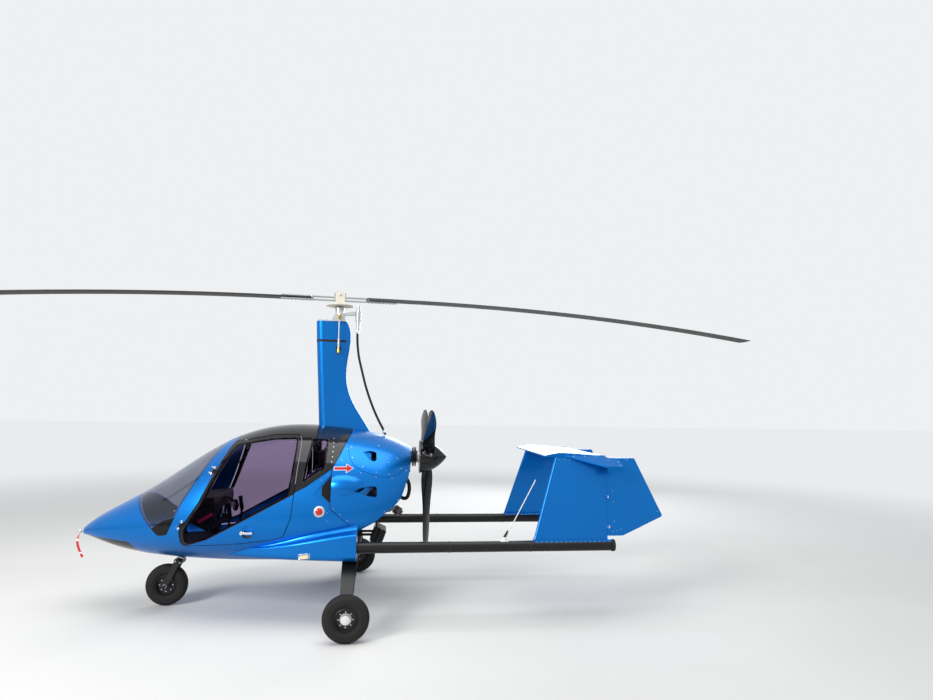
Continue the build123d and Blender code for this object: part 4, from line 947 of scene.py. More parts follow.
def add_fuel_cap():
    """A plated ring with a red dome and its grip, in the place of the plain disc."""
    place, way = BODY_SKIN.side(CAP_X, CAP_Z)
    ring = Shape().lathe(place, way, [
        (0, -0.004), (CAP_RING, -0.004), (CAP_RING + 0.0015, 0.0005), (CAP_RING - 0.002, 0.0038),
        (CAP_RING - 0.010, 0.0060), (0.0285, 0.0052), (0.0275, 0.0030), (0, 0.0030),
    ], 56)
    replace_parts(ring.piece("fuel_cap_ring", "aluminium"), "fuel_cap")
    dome = Shape().lathe(place + way * 0.0028, way, [
        (0, 0), (0.0262, 0), (0.0272, 0.0020), (0.0262, 0.0050), (0.0200, 0.0085), (0.0110, 0.0102), (0, 0.0106),
    ], 48)
    dome.piece("fuel_cap_dome", "red_gloss")
    middle = place + way * 0.0140
    turn = Matrix.Rotation(math.radians(CAP_GRIP_TURN), 3, "Y")
    grip = Shape().slab(middle - CAP_GRIP_HALF, middle + CAP_GRIP_HALF, 0.0028, turn)
    grip.piece("fuel_cap_grip", "red_gloss")
    screws = ring_of(place + way * 0.0042, way, CAP_RING - 0.0065, 6, 0.3)
    studs("fuel_cap_screws", screws, 0.0024, 0.0016)


# Door levers in their dishes
HANDLE_X, HANDLE_Z = -0.640, 0.742
DISH_RADIUS = 0.0445
DISH_BALL = 0.110
DISH_REACH = 0.030
LEVER_THICK = 0.006
LEVER_HALF_HEIGHT = 0.009
LEVER_FRONT = 0.050
LEVER_REAR = 0.046
LEVER_PIVOT = 0.042
LEVER_TURN = 2.5
LEVER_BOSS = [(0, 0), (0.0145, 0), (0.0145, 0.008), (0.0125, 0.0105), (0.006, 0.0115), (0, 0.0115)]


def add_door_levers():
    for name, side in SIDES:
        body = f"{name}_door"
        over, _ = BODY_SKIN.side(HANDLE_X, HANDLE_Z + DISH_REACH, side)
        under, _ = BODY_SKIN.side(HANDLE_X, HANDLE_Z - DISH_REACH, side)
        ball_y = (over.y + under.y) / 2 + side * math.sqrt(DISH_BALL**2 - DISH_REACH**2)
        rows, unders = [], []
        for i in range(9):
            radius = DISH_RADIUS * i / 8
            row = []
            for k in range(33):
                angle = 2 * math.pi * k / 32
                y = ball_y - side * math.sqrt(DISH_BALL**2 - radius**2)
                row.append(Vector((HANDLE_X + radius * math.cos(angle), y, HANDLE_Z + radius * math.sin(angle))))
            rows.append([place + Vector((0, side * FILM, 0)) for place in row])
            unders.append([place - Vector((0, side * FILM, 0)) for place in row])
        Shape().plate(rows, unders).piece(f"door_dish_{name}", "matt_black", body)
        pivot_x = HANDLE_X - LEVER_PIVOT
        face_y = Skin(body).side(pivot_x, HANDLE_Z, side)[0].y
        near, far = sorted((face_y, face_y + side * LEVER_THICK))
        lever = Shape().slab(
            (HANDLE_X - LEVER_FRONT, near, HANDLE_Z - LEVER_HALF_HEIGHT),
            (HANDLE_X + LEVER_REAR, far, HANDLE_Z + LEVER_HALF_HEIGHT),
            0.0028, Matrix.Rotation(side * math.radians(LEVER_TURN), 3, "Z"),
        )
        lever.lathe((pivot_x, face_y - side * 0.002, HANDLE_Z), (0, side, 0), LEVER_BOSS, 28)
        lever.piece(f"door_lever_{name}", "chrome", body)
        screw = [((pivot_x, face_y + side * 0.0095, HANDLE_Z), (0, side, 0))]
        studs(f"lever_screws_{name}", screw, 0.0042, 0.0016, HEX_SOFT, body)


# Chrome caps on the ends of the hinges' pins: places to starboard, mirrored to port
HINGES = [(-1.194, 0.556, 0.793), (-0.975, 0.470, 1.228)]
PIN_HALF = 0.0338
PIN_CAP = [(0, 0), (0.0062, 0), (0.0068, 0.0012), (0.0052, 0.0042), (0, 0.0052)]


def add_hinge_caps():
    line = (Vector(HINGES[1]) - Vector(HINGES[0])).normalized()
    for name, side in SIDES:
        caps = Shape()
        way = Vector((line.x, side * line.y, line.z))
        for x, y, z in HINGES:
            for end in (-1, 1):
                caps.lathe(Vector((x, side * y, z)) + way * end * PIN_HALF, way * end, PIN_CAP, 18)
        caps.piece(f"hinge_caps_{name}", "chrome")


# Wheels: name, body, the axle's x and y, which way is out, and whether it has a brake disc
WHEELS = [
    ("nose", "nose_wheel", -1.440, 0.0, -1, False),
    ("left", "left_wheel", 0.200, -1.077, -1, True),
    ("right", "right_wheel", 0.200, 1.077, 1, True),
]
AXLE_Z = 0.180

# Tread: half its width, its radius at the shoulder, how far it rises to the crown, and the arc's half turn
TREAD_HALF = 0.0385
SHOULDER_RADIUS = 0.166
CROWN_RISE = 0.014
CROWN_TURN = math.radians(62)
TREAD_GROOVES = (-0.026, -0.009, 0.009, 0.026)
GROOVE_HALF = 0.0022
GROOVE_SLOPE = 0.0006
GROOVE_DEPTH = 0.0035

# Turned profiles: radius, and height along the axle
TYRE_BEAD = (0.0885, 0.030)
TYRE_SIDE = [
    (0.0905, 0.036), (0.094, 0.0415), (0.099, 0.0440), (0.103, 0.0440), (0.105, 0.0462), (0.121, 0.0490),
    (0.124, 0.0498), (0.127, 0.0490), (0.140, 0.0488), (0.150, 0.0468), (0.1535, 0.0468), (0.156, 0.0448),
    (0.1625, 0.0410),
]
HUB_RING = [(0.0345, 0), (0.0445, 0), (0.0445, 0.002), (0.042, 0.003), (0.0345, 0.003), (0.0345, 0)]
HUB_CAP = [(0.0345, -0.014), (0.0352, -0.001), (0.0335, 0.003), (0.026, 0.0055), (0.012, 0.0072), (0, 0.0075)]
AXLE_NUT = [(0.0126, 0), (0.021, 0), (0.021, 0.006), (0.0175, 0.010), (0.0126, 0.010), (0.0126, 0)]
RIM_LIP = [(0.0800, 0.0422), (0.0875, 0.0365), (0.0886, 0.0380), (0.0812, 0.0438), (0.0800, 0.0422)]
VALVE = [(0.078, 0.024, 0.0042), (0.074, 0.036, 0.0038), (0.070, 0.045, 0.0030)]


def tread_radius(offset):
    """The ungrooved tread's radius at an offset from the tyre's middle."""
    sine = offset / TREAD_HALF * math.sin(CROWN_TURN)
    rise = (math.sqrt(1 - sine**2) - math.cos(CROWN_TURN)) / (1 - math.cos(CROWN_TURN))
    return SHOULDER_RADIUS + CROWN_RISE * rise


def tyre_profile():
    """Bead, bulging sidewall with its ribs, and a grooved round tread, as radius and offset from the middle."""
    tread = []
    for k in range(49):
        offset = TREAD_HALF * math.sin(CROWN_TURN * (k / 24 - 1)) / math.sin(CROWN_TURN)
        if not any(abs(offset - groove) < GROOVE_HALF for groove in TREAD_GROOVES):
            tread.append((tread_radius(offset), offset))
    for groove in TREAD_GROOVES:
        for side in (-1, 1):
            for reach, depth in ((GROOVE_HALF + GROOVE_SLOPE, 0), (GROOVE_HALF, GROOVE_DEPTH)):
                offset = groove + side * reach
                tread.append((tread_radius(offset) - depth, offset))
    tread.sort(key=lambda point: point[1])
    port = [(radius, -offset) for radius, offset in [TYRE_BEAD] + TYRE_SIDE]
    starboard = [TYRE_BEAD] + TYRE_SIDE
    return port + tread + starboard[::-1]


def add_wheels():
    profile = tyre_profile()
    for name, body, x, y, out, brake in WHEELS:
        tyre = Shape().lathe((x, y, AXLE_Z), (0, 1, 0), profile + [profile[0]], 96)
        piece = tyre.piece(f"{name}_tyre_tread", "rubber", body, sharp=40)
        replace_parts(piece, f"{name}_tyre")
        for face in (out,) if brake else (-1, 1):
            ends = {-1: "port", 1: "starboard"}[face]
            way = (0, face, 0)
            bolts = ring_of((x, y + face * 0.0162, AXLE_Z), way, 0.056, 8)
            studs(f"{name}_rim_bolts_{ends}", bolts, 0.0062, 0.006, HEX_SHARP, body)
            plate = Shape().lathe((x, y + face * 0.0152, AXLE_Z), way, HUB_RING, 40)
            plate.piece(f"{name}_hub_ring_{ends}", "aluminium" if brake else "black_steel", body)
            if brake:
                cap = Shape().lathe((x, y + face * 0.0395, AXLE_Z), way, HUB_CAP, 40)
                cap.piece(f"{name}_hub_cap", "hub_white", body)
            else:
                nut = Shape().lathe((x, y + face * 0.0665, AXLE_Z), way, AXLE_NUT, 6)
                nut.piece(f"nose_axle_nut_{ends}", "aluminium", "nose_fork")
        stem = [(x + ahead, y + out * offset, AXLE_Z) for ahead, offset, _ in VALVE]
        Shape().tube(stem, [radius for _, _, radius in VALVE], 10).piece(f"{name}_valve", "matt_black", body)
        lip = Shape().lathe((x, y, AXLE_Z), (0, 1, 0), [(radius, out * offset) for radius, offset in RIM_LIP], 64)
        lip.piece(f"{name}_rim_lip", "black_steel", body)
        if brake:
            slots = ring_of((x, y - out * 0.0725, AXLE_Z), (0, -out, 0), 0.047, 12)
            studs(f"{name}_disc_bolts", slots, 0.0045, 0.003, HEX, body)


# Brake lines held along the gear legs' rear edges: x, y and z to starboard
BRAKE_LINE = [
    (0.262, 0.560, 0.492), (0.258, 0.660, 0.470), (0.250, 0.740, 0.415), (0.243, 0.860, 0.332),
    (0.238, 0.940, 0.268), (0.245, 0.992, 0.232), (0.262, 1.012, 0.205),
]
CLIP_TURN = math.radians(35)
CLIP_LOW = Vector((0.012, 0.004, 0.007))
CLIP_HIGH = Vector((0.006, 0.004, 0.007))
AXLE_FACE = 1.0018
NOSE_RAKE = math.radians(20)
NOSE_PIVOT = Vector((-1.335, 0, 0.400))
COLLAR_FLANGE = [
    (0.0206, 0), (0.0400, 0), (0.0400, 0.007), (0.0365, 0.010), (0.0345, 0.010), (0.0345, 0.004), (0.0206, 0.004),
    (0.0206, 0),
]


def smooth_path(points, steps=8):
    """A smooth line through a few points."""
    points = [Vector(point) for point in points]
    ends = [points[0] * 2 - points[1]] + points + [points[-1] * 2 - points[-2]]
    line = []
    for k in range(1, len(ends) - 2):
        p0, p1, p2, p3 = ends[k - 1:k + 3]
        for step in range(steps):
            t = step / steps
            line.append(0.5 * (2 * p1 + (p2 - p0) * t + (2 * p0 - 5 * p1 + 4 * p2 - p3) * t**2
                               + (3 * p1 - p0 - 3 * p2 + p3) * t**3))
    return line + [points[-1]]


def add_gear_details():
    """Brake lines with their clips, the bolts of the axles, bow and fork, and the nose leg's flange."""
    for name, side in SIDES:
        route = [Vector((x, side * y, z)) for x, y, z in BRAKE_LINE]
        Shape().tube(smooth_path(route), 0.0035, 10).piece(f"brake_line_{name}", "rubber")
        clips = Shape()
        turn = Matrix.Rotation(side * CLIP_TURN, 3, "X")
        for place in route[2:5]:
            clips.slab(place - CLIP_LOW, place + CLIP_HIGH, 0.002, turn)
        clips.piece(f"brake_line_clips_{name}", "matt_black")
        axle = ring_of((0.200, side * 1.0102, AXLE_Z), (0, side, 0), 0.0235, 4, math.pi / 4)
        studs(f"axle_bolts_{name}", axle, 0.0048, 0.0045, HEX)
        face_y = side * (AXLE_FACE - 0.0345)
        heads = [((x, face_y, z), (0, -side, 0)) for x in (0.182, 0.218) for z in (0.158, 0.202)]
        studs(f"axle_bolt_heads_{name}", heads, 0.0055, 0.005, HEX_SHARP)
        under = [((x, side * y, 0.488), (0, 0, -1)) for x in (0.160, 0.235) for y in (0.330, 0.420)]
        studs(f"bow_bolts_{name}", under, 0.008, 0.006, HEX_SHARP)
    rake = Vector((math.sin(NOSE_RAKE), 0, math.cos(NOSE_RAKE)))
    ahead = Vector((math.cos(NOSE_RAKE), 0, -math.sin(NOSE_RAKE)))
    collar = Shape().lathe(NOSE_PIVOT + rake * 0.0172, rake, COLLAR_FLANGE, 40)
    collar.piece("nose_collar_flange", "aluminium")
    yoke = []
    for side in (-1, 1):
        for along in (-0.020, 0.020):
            yoke.append((NOSE_PIVOT - rake * 0.014 + ahead * along + Vector((0, side * 0.0666, 0)), (0, side, 0)))
    studs("fork_bolts", yoke, 0.0062, 0.005, HEX_SHARP, "nose_fork")


# Booms, fins, rudders and stabiliser
BOOM_Y, BOOM_Z, BOOM_END = 0.709, 0.627, 2.444
BOOM_BANDS = (1.020, 1.710)
BAND_WIDTH = 0.016
BAND = [
    (0.0452, 0), (0.0462, 0.0005), (0.0467, 0.002), (0.0467, BAND_WIDTH - 0.002), (0.0462, BAND_WIDTH - 0.0005),
    (0.0452, BAND_WIDTH), (0.0452, 0),
]
BOOM_LIP = [
    (0.0494, 0), (0.0502, 0.001), (0.0506, 0.006), (0.0506, 0.022), (0.0494, 0.0262), (0.0470, 0.0272),
    (0.0424, 0.0266), (0.0424, 0.012), (0.0494, 0.0),
]
FOOT_RIVETS = [(1.760 + 0.042 * k, 0.664) for k in range(16)]
FIN_TOP_SCREWS = [(1.985 + 0.045 * k, 1.345) for k in range(9)]
RUDDER_BOLTS = [
    (2.432, 0.742), (2.470, 0.748), (2.508, 0.760), (2.450, 0.825), (2.450, 0.990), (2.450, 1.080), (2.452, 1.245),
    (2.452, 1.335), (2.600, 1.345), (2.852, 0.905),
]
TIP_SCREWS = [(2.110, 0.636), (2.210, 0.640), (2.310, 0.642), (2.400, 0.700), (2.480, 0.725), (2.480, 0.780)]
LOOK_FROM = 0.4


def both_faces(node, places, across):
    """Where a blade's two faces stand at each place, looked at along one direction and against it."""
    skin = Skin(node)
    found = []
    for place in places:
        for face in (-1, 1):
            seat = skin.look(Vector(place) + across * face * LOOK_FROM, across * -face)
            if seat[0]:
                found.append(seat)
    return found


def add_tail_details():
    for name, side in SIDES:
        lip = Shape().lathe((BOOM_END - 0.026, side * BOOM_Y, BOOM_Z), (1, 0, 0), BOOM_LIP, 48)
        lip.piece(f"boom_end_lip_{name}", "matt_black")
        bands = Shape()
        for x in BOOM_BANDS:
            bands.lathe((x - BAND_WIDTH / 2, side * BOOM_Y, BOOM_Z), (1, 0, 0), BAND, 40)
        bands.piece(f"boom_bands_{name}", "black_steel")
        rivets = both_faces(f"fin_{name}", [(x, side * BOOM_Y, z) for x, z in FOOT_RIVETS], STARBOARD)
        studs(f"fin_foot_rivets_{name}", rivets, 0.0042, 0.0018)
        screws = both_faces(f"fin_{name}", [(x, side * 0.6, z) for x, z in FIN_TOP_SCREWS], STARBOARD)
        studs(f"fin_top_screws_{name}", screws, 0.0036, 0.0014)
        rudder = f"{name}_rudder"
        bolts = both_faces(rudder, [(x, side * 0.66, z) for x, z in RUDDER_BOLTS], STARBOARD)
        studs(f"rudder_bolts_{name}", bolts, 0.0042, 0.0022, body=rudder)
        horn = Shape().slab((2.405, side * 0.690 - 0.003, 0.716), (2.470, side * 0.690 + 0.003, 0.738))
        horn.piece(f"rudder_horn_{name}", "aluminium", rudder)
    places = [(x, -0.56 + 0.08 * k, 1.385) for k in range(15) for x in (1.905, 2.360)]
    places += [(x, side * y, 1.340) for side in (-1, 1) for x, y in TIP_SCREWS]
    studs("stabiliser_screws", both_faces("stabiliser", places, UP), 0.0042, 0.0016)


# Antenna foot on the port boom
ANTENNA_FOOT = Vector((1.483, -BOOM_Y, 0.6675))
ANTENNA_LEAN = (0.302, 0.149, 0.490)
ANTENNA_BOOT = [
    (0.0102, -0.004), (0.0102, 0.006), (0.0082, 0.030), (0.0060, 0.058), (0.0046, 0.062), (0.0042, 0.064),
]


def add_antenna_foot():
    low, high = ANTENNA_FOOT - Vector((0.036, 0.020, 0)), ANTENNA_FOOT + Vector((0.036, 0.020, 0.0055))
    foot = Shape().slab(low, high, 0.0022)
    foot.piece("antenna_foot_plate", "white")
    bolts = [(ANTENNA_FOOT + Vector((a * 0.029, b * 0.012, 0.0047)), UP) for a in (-1, 1) for b in (-1, 1)]
    studs("antenna_bolts", bolts, 0.0046, 0.004, HEX)
    boot = Shape().lathe(ANTENNA_FOOT + UP * 0.0345, ANTENNA_LEAN, ANTENNA_BOOT, 20)
    boot.piece("antenna_boot", "matt_black")


# Mast: the heights of a dark band that paints the shadow line across it, and the slot's outline in side view
MAST_X = -0.070
SHADOW_BAND_HEIGHTS = (2.388, 2.394, 2.404, 2.410)
SLOT = [(0.004, 2.258, 0.010), (0.0245, 2.330, 0.060), (0.004, 2.404, 0.010), (-0.0165, 2.330, 0.060)]
SLOT_MIDDLE = (0.004, 2.331)
SLOT_RIM = (1.32, 1.08)


def add_mast_details():
    skin = Skin("mast_fairing")
    # A matt black band round the mast paints the shadow line that the rotor casts across it
    rows, unders = [], []
    for z in SHADOW_BAND_HEIGHTS:
        row, under = [], []
        for k in range(65):
            angle = 2 * math.pi * k / 64
            way = Vector((math.cos(angle), math.sin(angle), 0))
            place, _ = skin.look(Vector((MAST_X, 0, z)) + way * 0.6, -way)
            row.append(place + way * 0.0012)
            under.append(place - way * 0.002)
        rows.append(row)
        unders.append(under)
    Shape().plate(rows, unders).piece("mast_shadow_band", "matt_black", merge=0.0002)
    outline = rounded(SLOT, 8)
    around = [[m + (v - m) * s for v, m, s in zip(point, SLOT_MIDDLE, SLOT_RIM)] for point in outline]
    for name, side in SIDES:
        # A near-black liner inside each slot paints the shade within it
        slot_shade = Shape().prism(outline, side * 0.0268, side * 0.0240)
        slot_shade.piece(f"mast_slot_shade_{name}", "painted_shade")
        rim = [skin.look((x, side, z), (0, -side, 0))[0] for x, z in around]
        Shape().tube(rim + [rim[0]], 0.0022, 8).piece(f"mast_slot_rim_{name}", "matt_black")


# Rotor head, hub and blades: heights, the rotor's turn at rest and the turned profiles
ROTOR_TURN = math.radians(6.5)
TEETER_Z = 2.842
BLADE_Z = 2.805
HUB_TOP = 2.8243
HUB_LOW = 2.7857
PLATE_BOLT_Z = 2.5962
RING_GEAR_TOP = 2.7418
PIVOT_NUT = [
    (0, 0), (0.0165, 0), (0.0165, 0.003), (0.0135, 0.004), (0.0135, 0.0085), (0.0095, 0.0095), (0, 0.0095),
]
BEARING_SEAL = [
    (0.0165, 0), (0.0405, 0), (0.0420, 0.0015), (0.0420, 0.0050), (0.0330, 0.0065), (0.0165, 0.0065), (0.0165, 0),
]
ROD_END = [
    (0, -0.020), (0.0125, -0.018), (0.0135, -0.010), (0.0115, 0.004), (0.0086, 0.028), (0.0064, 0.034), (0, 0.034),
]
ROD_NUT = [(0, 0), (0.0098, 0), (0.0098, 0.008), (0, 0.008)]
TEETER_NUT = [
    (0, 0), (0.0150, 0), (0.0150, 0.0022), (0.0118, 0.0022), (0.0118, 0.0088), (0.0095, 0.0098), (0, 0.0098),
]
ROOT_RIB = Vector((0.006, 0.060, 0.0088))


def on_rotor(x, y, z=0.0):
    """A place or direction on the rotor, turned to where it stands at rest."""
    sine, cosine = math.sin(ROTOR_TURN), math.cos(ROTOR_TURN)
    return Vector((x * cosine - y * sine, x * sine + y * cosine, z))


def add_head_details():
    """Bolts, nuts, seal and rod ends on the head, which stays with the mast."""
    head = [((x, y, PLATE_BOLT_Z), UP) for x in (-0.180, -0.120, 0.052) for y in (-0.040, 0.040)]
    studs("head_plate_bolts", head, 0.0055, 0.0055, HEX)
    cheek = ((-0.042, 2.612), (0.036, 2.612), (-0.020, 2.640), (0.018, 2.640))
    cheeks = [((x, side * 0.0500, z), (0, side, 0)) for side in (-1, 1) for x, z in cheek]
    studs("head_cheek_bolts", cheeks, 0.0048, 0.004, HEX)
    pivots, rods, ends = Shape(), Shape(), Shape()
    for side in (-1, 1):
        pivots.lathe((0, side * 0.0505, 2.660), (0, side, 0), PIVOT_NUT, 24)
        for z, way in ((2.300, 1), (2.628, -1)):
            ends.lathe((0.004, side * 0.082, z), (0, 0, way), ROD_END, 24)
            rods.lathe((0.004, side * 0.082, z + way * 0.038), (0, 0, way), ROD_NUT, 6)
    pivots.piece("gimbal_pivot_nuts", "chrome")
    Shape().lathe((0, 0, 2.7165), UP, BEARING_SEAL, 48).piece("bearing_seal", "seal")
    ends.piece("control_rod_ends", "gold")
    rods.piece("control_rod_nuts", "chrome")


def add_rotor_details():
    """Bolts, nuts and ribs on the tower and on the teetering rotor."""
    ring = []
    for k in range(8):
        angle = 2 * math.pi * (k + 0.5) / 8
        ring.append(((math.cos(angle) * 0.088, math.sin(angle) * 0.088, RING_GEAR_TOP), UP))
    studs("ring_gear_bolts", ring, 0.0055, 0.005, HEX, "rotor_mast")
    tower, nuts = [], Shape()
    for side in (-1, 1):
        way = on_rotor(0, side)
        tower += [(on_rotor(x, side * 0.0425, 2.752), way) for x in (-0.030, 0.030)]
        nuts.lathe(on_rotor(0, side * 0.0425, TEETER_Z), way, TEETER_NUT, 6)
    studs("tower_bolts", tower, 0.0050, 0.004, HEX, "rotor_mast")
    nuts.piece("teeter_nuts", "chrome", "rotor_mast")
    hub, cuffs = [], Shape()
    for end in (-1, 1):
        for k in range(8):
            for y in (-0.017, 0.017):
                x = end * (0.275 + 0.034 * k)
                hub.append((on_rotor(x, y, HUB_TOP - 0.0008), UP))
                hub.append((on_rotor(x, y, HUB_LOW + 0.0008), -UP))
        middle = on_rotor(end * 0.262, -0.048, BLADE_Z)
        cuffs.slab(middle - ROOT_RIB, middle + ROOT_RIB, 0.002, Matrix.Rotation(ROTOR_TURN, 3, "Z"))
    studs("hub_bar_bolts", hub, 0.0062, 0.0058, HEX, "rotor")
    block = [(on_rotor(x, y, TEETER_Z + 0.0155), UP) for x in (-0.040, 0.040) for y in (-0.020, 0.020)]
    studs("hub_block_bolts", block, 0.0062, 0.006, HEX, "rotor")
    cuffs.piece("blade_root_ribs", "aluminium", "rotor")


# Propeller: its axis, and the turned profiles round it
PROP_Z, PROP_X = 1.320, 0.862
ROOT_COLLAR = [
    (0.0276, 0), (0.0365, 0), (0.0375, 0.0015), (0.0375, 0.0105), (0.0355, 0.0125), (0.0276, 0.0125), (0.0276, 0),
]
CASE_RING = [
    (0.0462, 0), (0.0880, 0), (0.0925, 0.0012), (0.0925, 0.0062), (0.0880, 0.0074), (0.0462, 0.0074), (0.0462, 0),
]
BACKPLATE_RIM = [
    (0.1490, 0), (0.1536, 0), (0.1541, 0.0008), (0.1541, 0.0060), (0.1536, 0.0068), (0.1490, 0.0068), (0.1490, 0),
]


def add_propeller_details():
    """Bolts on the drive flange, collars at the blades' roots, and rings on the gear case."""
    for kind, x, way, height in (("bolts", 0.7812, 1, 0.0050), ("nuts", 0.7708, -1, 0.0045)):
        ring = ring_of((x, 0, PROP_Z), (way, 0, 0), 0.048, 6)
        studs(f"drive_flange_{kind}", ring, 0.0058, height, HEX, "propeller")
    cuffs = Shape()
    for k in range(3):
        way = Matrix.Rotation(2 * math.pi * k / 3, 3, "X") @ -UP
        cuffs.lathe(Vector((PROP_X, 0, PROP_Z)) + way * 0.0735, way, ROOT_COLLAR, 36)
    cuffs.piece("blade_root_collars", "aluminium", "propeller")
    case = Shape()
    for x in (0.7225, 0.7365, 0.7505):
        case.lathe((x - 0.0045, 0, PROP_Z), (1, 0, 0), CASE_RING, 64)
    case.piece("gear_case_rings", "black_steel")
    rim = Shape().lathe((0.7868, 0, PROP_Z), (1, 0, 0), BACKPLATE_RIM, 72)
    rim.piece("spinner_backplate_rim", "black_steel", "propeller")
    screws = ring_of((0.7872, 0, PROP_Z), (-1, 0, 0), 0.139, 12)
    studs("spinner_screws", screws, 0.0042, 0.0018, body="propeller")


# Engine bay: hoses to starboard as three points and a radius, mirrored to port
HOSES = [
    ((0.300, 0.150, 1.150), (0.330, 0.165, 1.060), (0.395, 0.180, 0.985), 0.013),
    ((0.470, 0.120, 1.120), (0.560, 0.130, 1.050), (0.610, 0.120, 1.120), 0.012),
    ((0.520, 0.100, 1.350), (0.600, 0.105, 1.395), (0.680, 0.085, 1.345), 0.012),
]
LONG_HOSE = [
    (0.590, -0.150, 1.165), (0.648, -0.185, 1.150), (0.684, -0.200, 1.095), (0.690, -0.202, 1.025),
    (0.668, -0.198, 0.962), (0.615, -0.175, 0.968), (0.560, -0.140, 1.040), (0.540, -0.120, 1.120),
]
CYLINDERS_X = (0.285, 0.465)
PLUG_CAP = [
    (0, -0.002), (0.0105, -0.002), (0.0105, 0.014), (0.0080, 0.018), (0.0080, 0.034), (0.0055, 0.038), (0, 0.038),
]
FILTER_FOOT = Vector((0.589, 0.196, 1.318))
FILTER_CAP = [
    (0.0250, -0.010), (0.0285, -0.010), (0.0285, 0.0), (0.0392, 0.0006), (0.0405, 0.004), (0.0405, 0.010),
    (0.0382, 0.012), (0.0382, 0.054), (0.0405, 0.056), (0.0405, 0.064), (0.0380, 0.0672), (0, 0.0672),
]
LINKAGE_X, LINKAGE_Z = 0.560, 1.405


def add_hoses():
    hoses, clamps = Shape(), Shape()
    for side in (-1, 1):
        for *points, radius in HOSES:
            path = smooth_path([(x, side * y, z) for x, y, z in points], 12)
            hoses.tube(path, radius, 14)
            outer = radius + 0.0018
            ring = [(radius, 0), (outer, 0), (outer, 0.008), (radius, 0.008), (radius, 0)]
            for where in (1, len(path) - 2):
                at = path[where]
                way = (path[where + 1] - path[where - 1]).normalized()
                clamps.lathe(at - way * 0.004, way, ring, 24)
                reach = radius + 0.006 if side > 0 else -radius
                clamps.slab(at + Vector((-0.004, side * radius, -0.004)), at + Vector((0.004, reach, 0.004)), 0)
    hoses.tube(smooth_path(LONG_HOSE, 10), 0.0165, 16)
    hoses.piece("coolant_hoses", "rubber")
    clamps.piece("hose_clamps", "chrome")


def add_engine_details():
    """Cover bolts, plug caps and leads, the ignition box, the throttle linkage and the air filters."""
    covers, leads, plugs = [], Shape(), Shape()
    for x in CYLINDERS_X:
        for side in (-1, 1):
            for dx in (-0.036, 0.036):
                covers += [((x + dx, side * 0.2800, z), (0, side, 0)) for z in (1.180, 1.244)]
            plugs.lathe((x, side * 0.262, 1.2565), (0, side * 0.25, 1), PLUG_CAP, 16)
            lead = [
                (x, side * 0.2705, 1.2900), (x + 0.006, side * 0.262, 1.335), (x + 0.020, side * 0.160, 1.372),
                (0.380, side * 0.050, 1.352),
            ]
            leads.tube(smooth_path(lead, 10), 0.0036, 8)
    studs("rocker_cover_bolts", covers, 0.0052, 0.004, HEX)
    plugs.piece("plug_caps", "matt_black")
    leads.piece("spark_leads", "red_gloss")

    box = Shape().slab((0.310, -0.070, 1.3325), (0.450, 0.070, 1.3720), 0.008)
    for k in range(6):
        box.slab((0.318 + 0.024 * k, -0.064, 1.3700), (0.324 + 0.024 * k, 0.064, 1.3780), 0.0015)
    box.piece("ignition_box", "casting")
    drive = ring_of((0.7000, 0, 1.242), (1, 0, 0), 0.0600, 8, 0.4)
    drive += ring_of((0.640, 0, 1.262), (1, 0, 0), 0.0835, 6, 0.2)
    studs("gearbox_bolts", drive, 0.0055, 0.0050, HEX)

    links, filters, pleats = Shape(), Shape(), []
    links.tube([(LINKAGE_X, -0.170, LINKAGE_Z), (LINKAGE_X, 0.170, LINKAGE_Z)], 0.0052, 12)
    for side in (-1, 1):
        links.tube([(LINKAGE_X, side * 0.160, LINKAGE_Z), (0.556, side * 0.196, 1.3375)], 0.0042, 10)
        links.slab((0.548, side * 0.170 - 0.008, 1.394), (0.572, side * 0.170 + 0.008, 1.416), 0.003)
        rod = [(0.565, side * 0.060, LINKAGE_Z), (0.640, side * 0.060, 1.398), (0.690, side * 0.052, 1.384)]
        links.tube(smooth_path(rod), 0.0036, 10)
        foot = FILTER_FOOT * Vector((1, side, 1))
        filters.lathe(foot, (1, 0, 0), FILTER_CAP, 48)
        for k in range(40):
            angle = 2 * math.pi * k / 40
            way = Vector((0, math.cos(angle), math.sin(angle)))
            pleats.append((foot + Vector((0.033, 0, 0)) + way * 0.0378, way))
    links.piece("throttle_linkage", "chrome")
    filters.piece("air_filter_caps", "red_gloss")
    slats("air_filter_pleats", "blade", pleats, (0.040, 0.0022, 0.0050))


# Exhaust and oil cooler
MUFFLER_BAND = [(0.0622, 0), (0.0642, 0), (0.0642, 0.014), (0.0622, 0.014), (0.0622, 0)]
PORT_FLANGE = [(0.0172, 0), (0.0255, 0), (0.0265, 0.0015), (0.0265, 0.0085), (0.0172, 0.0085), (0.0172, 0)]
PIPE_RING = [(0.0172, 0), (0.0205, 0), (0.0205, 0.006), (0.0172, 0.006), (0.0172, 0)]
TAIL_PIPE_START = Vector((0.520, -0.150, 0.890))
TAIL_PIPE_END = Vector((0.622, -0.196, 0.826))
TAIL_PIPE_LIP = [
    (0.0228, 0), (0.0262, 0), (0.0272, 0.002), (0.0276, 0.010), (0.0266, 0.0128), (0.0238, 0.0124),
    (0.0228, 0.008), (0.0228, 0),
]
TAIL_PIPE_SLEEVE = [
    (0.0231, 0), (0.0300, 0.002), (0.0400, 0.012), (0.0415, 0.013), (0.0415, 0.019), (0.0400, 0.020),
    (0.0400, 0.056), (0.0415, 0.057), (0.0415, 0.063), (0.0400, 0.064), (0.0300, 0.070), (0.0231, 0.070),
    (0.0231, 0),
]
PORT_Y = 0.215
SPRING_RADIUS = 0.0042
SPRING_LENGTH = 0.034
COOLER_LOW = Vector((0.350, 0, 0.600))
COOLER_HIGH = Vector((0.400, 0, 0.730))
COOLER_REAR = Vector((0.440, 0, 0.560))
COOLER_MIDDLE = Vector((0, -0.210, 0))
TANK_BOSS = [(0, 0), (0.010, 0), (0.010, 0.010), (0, 0.010)]


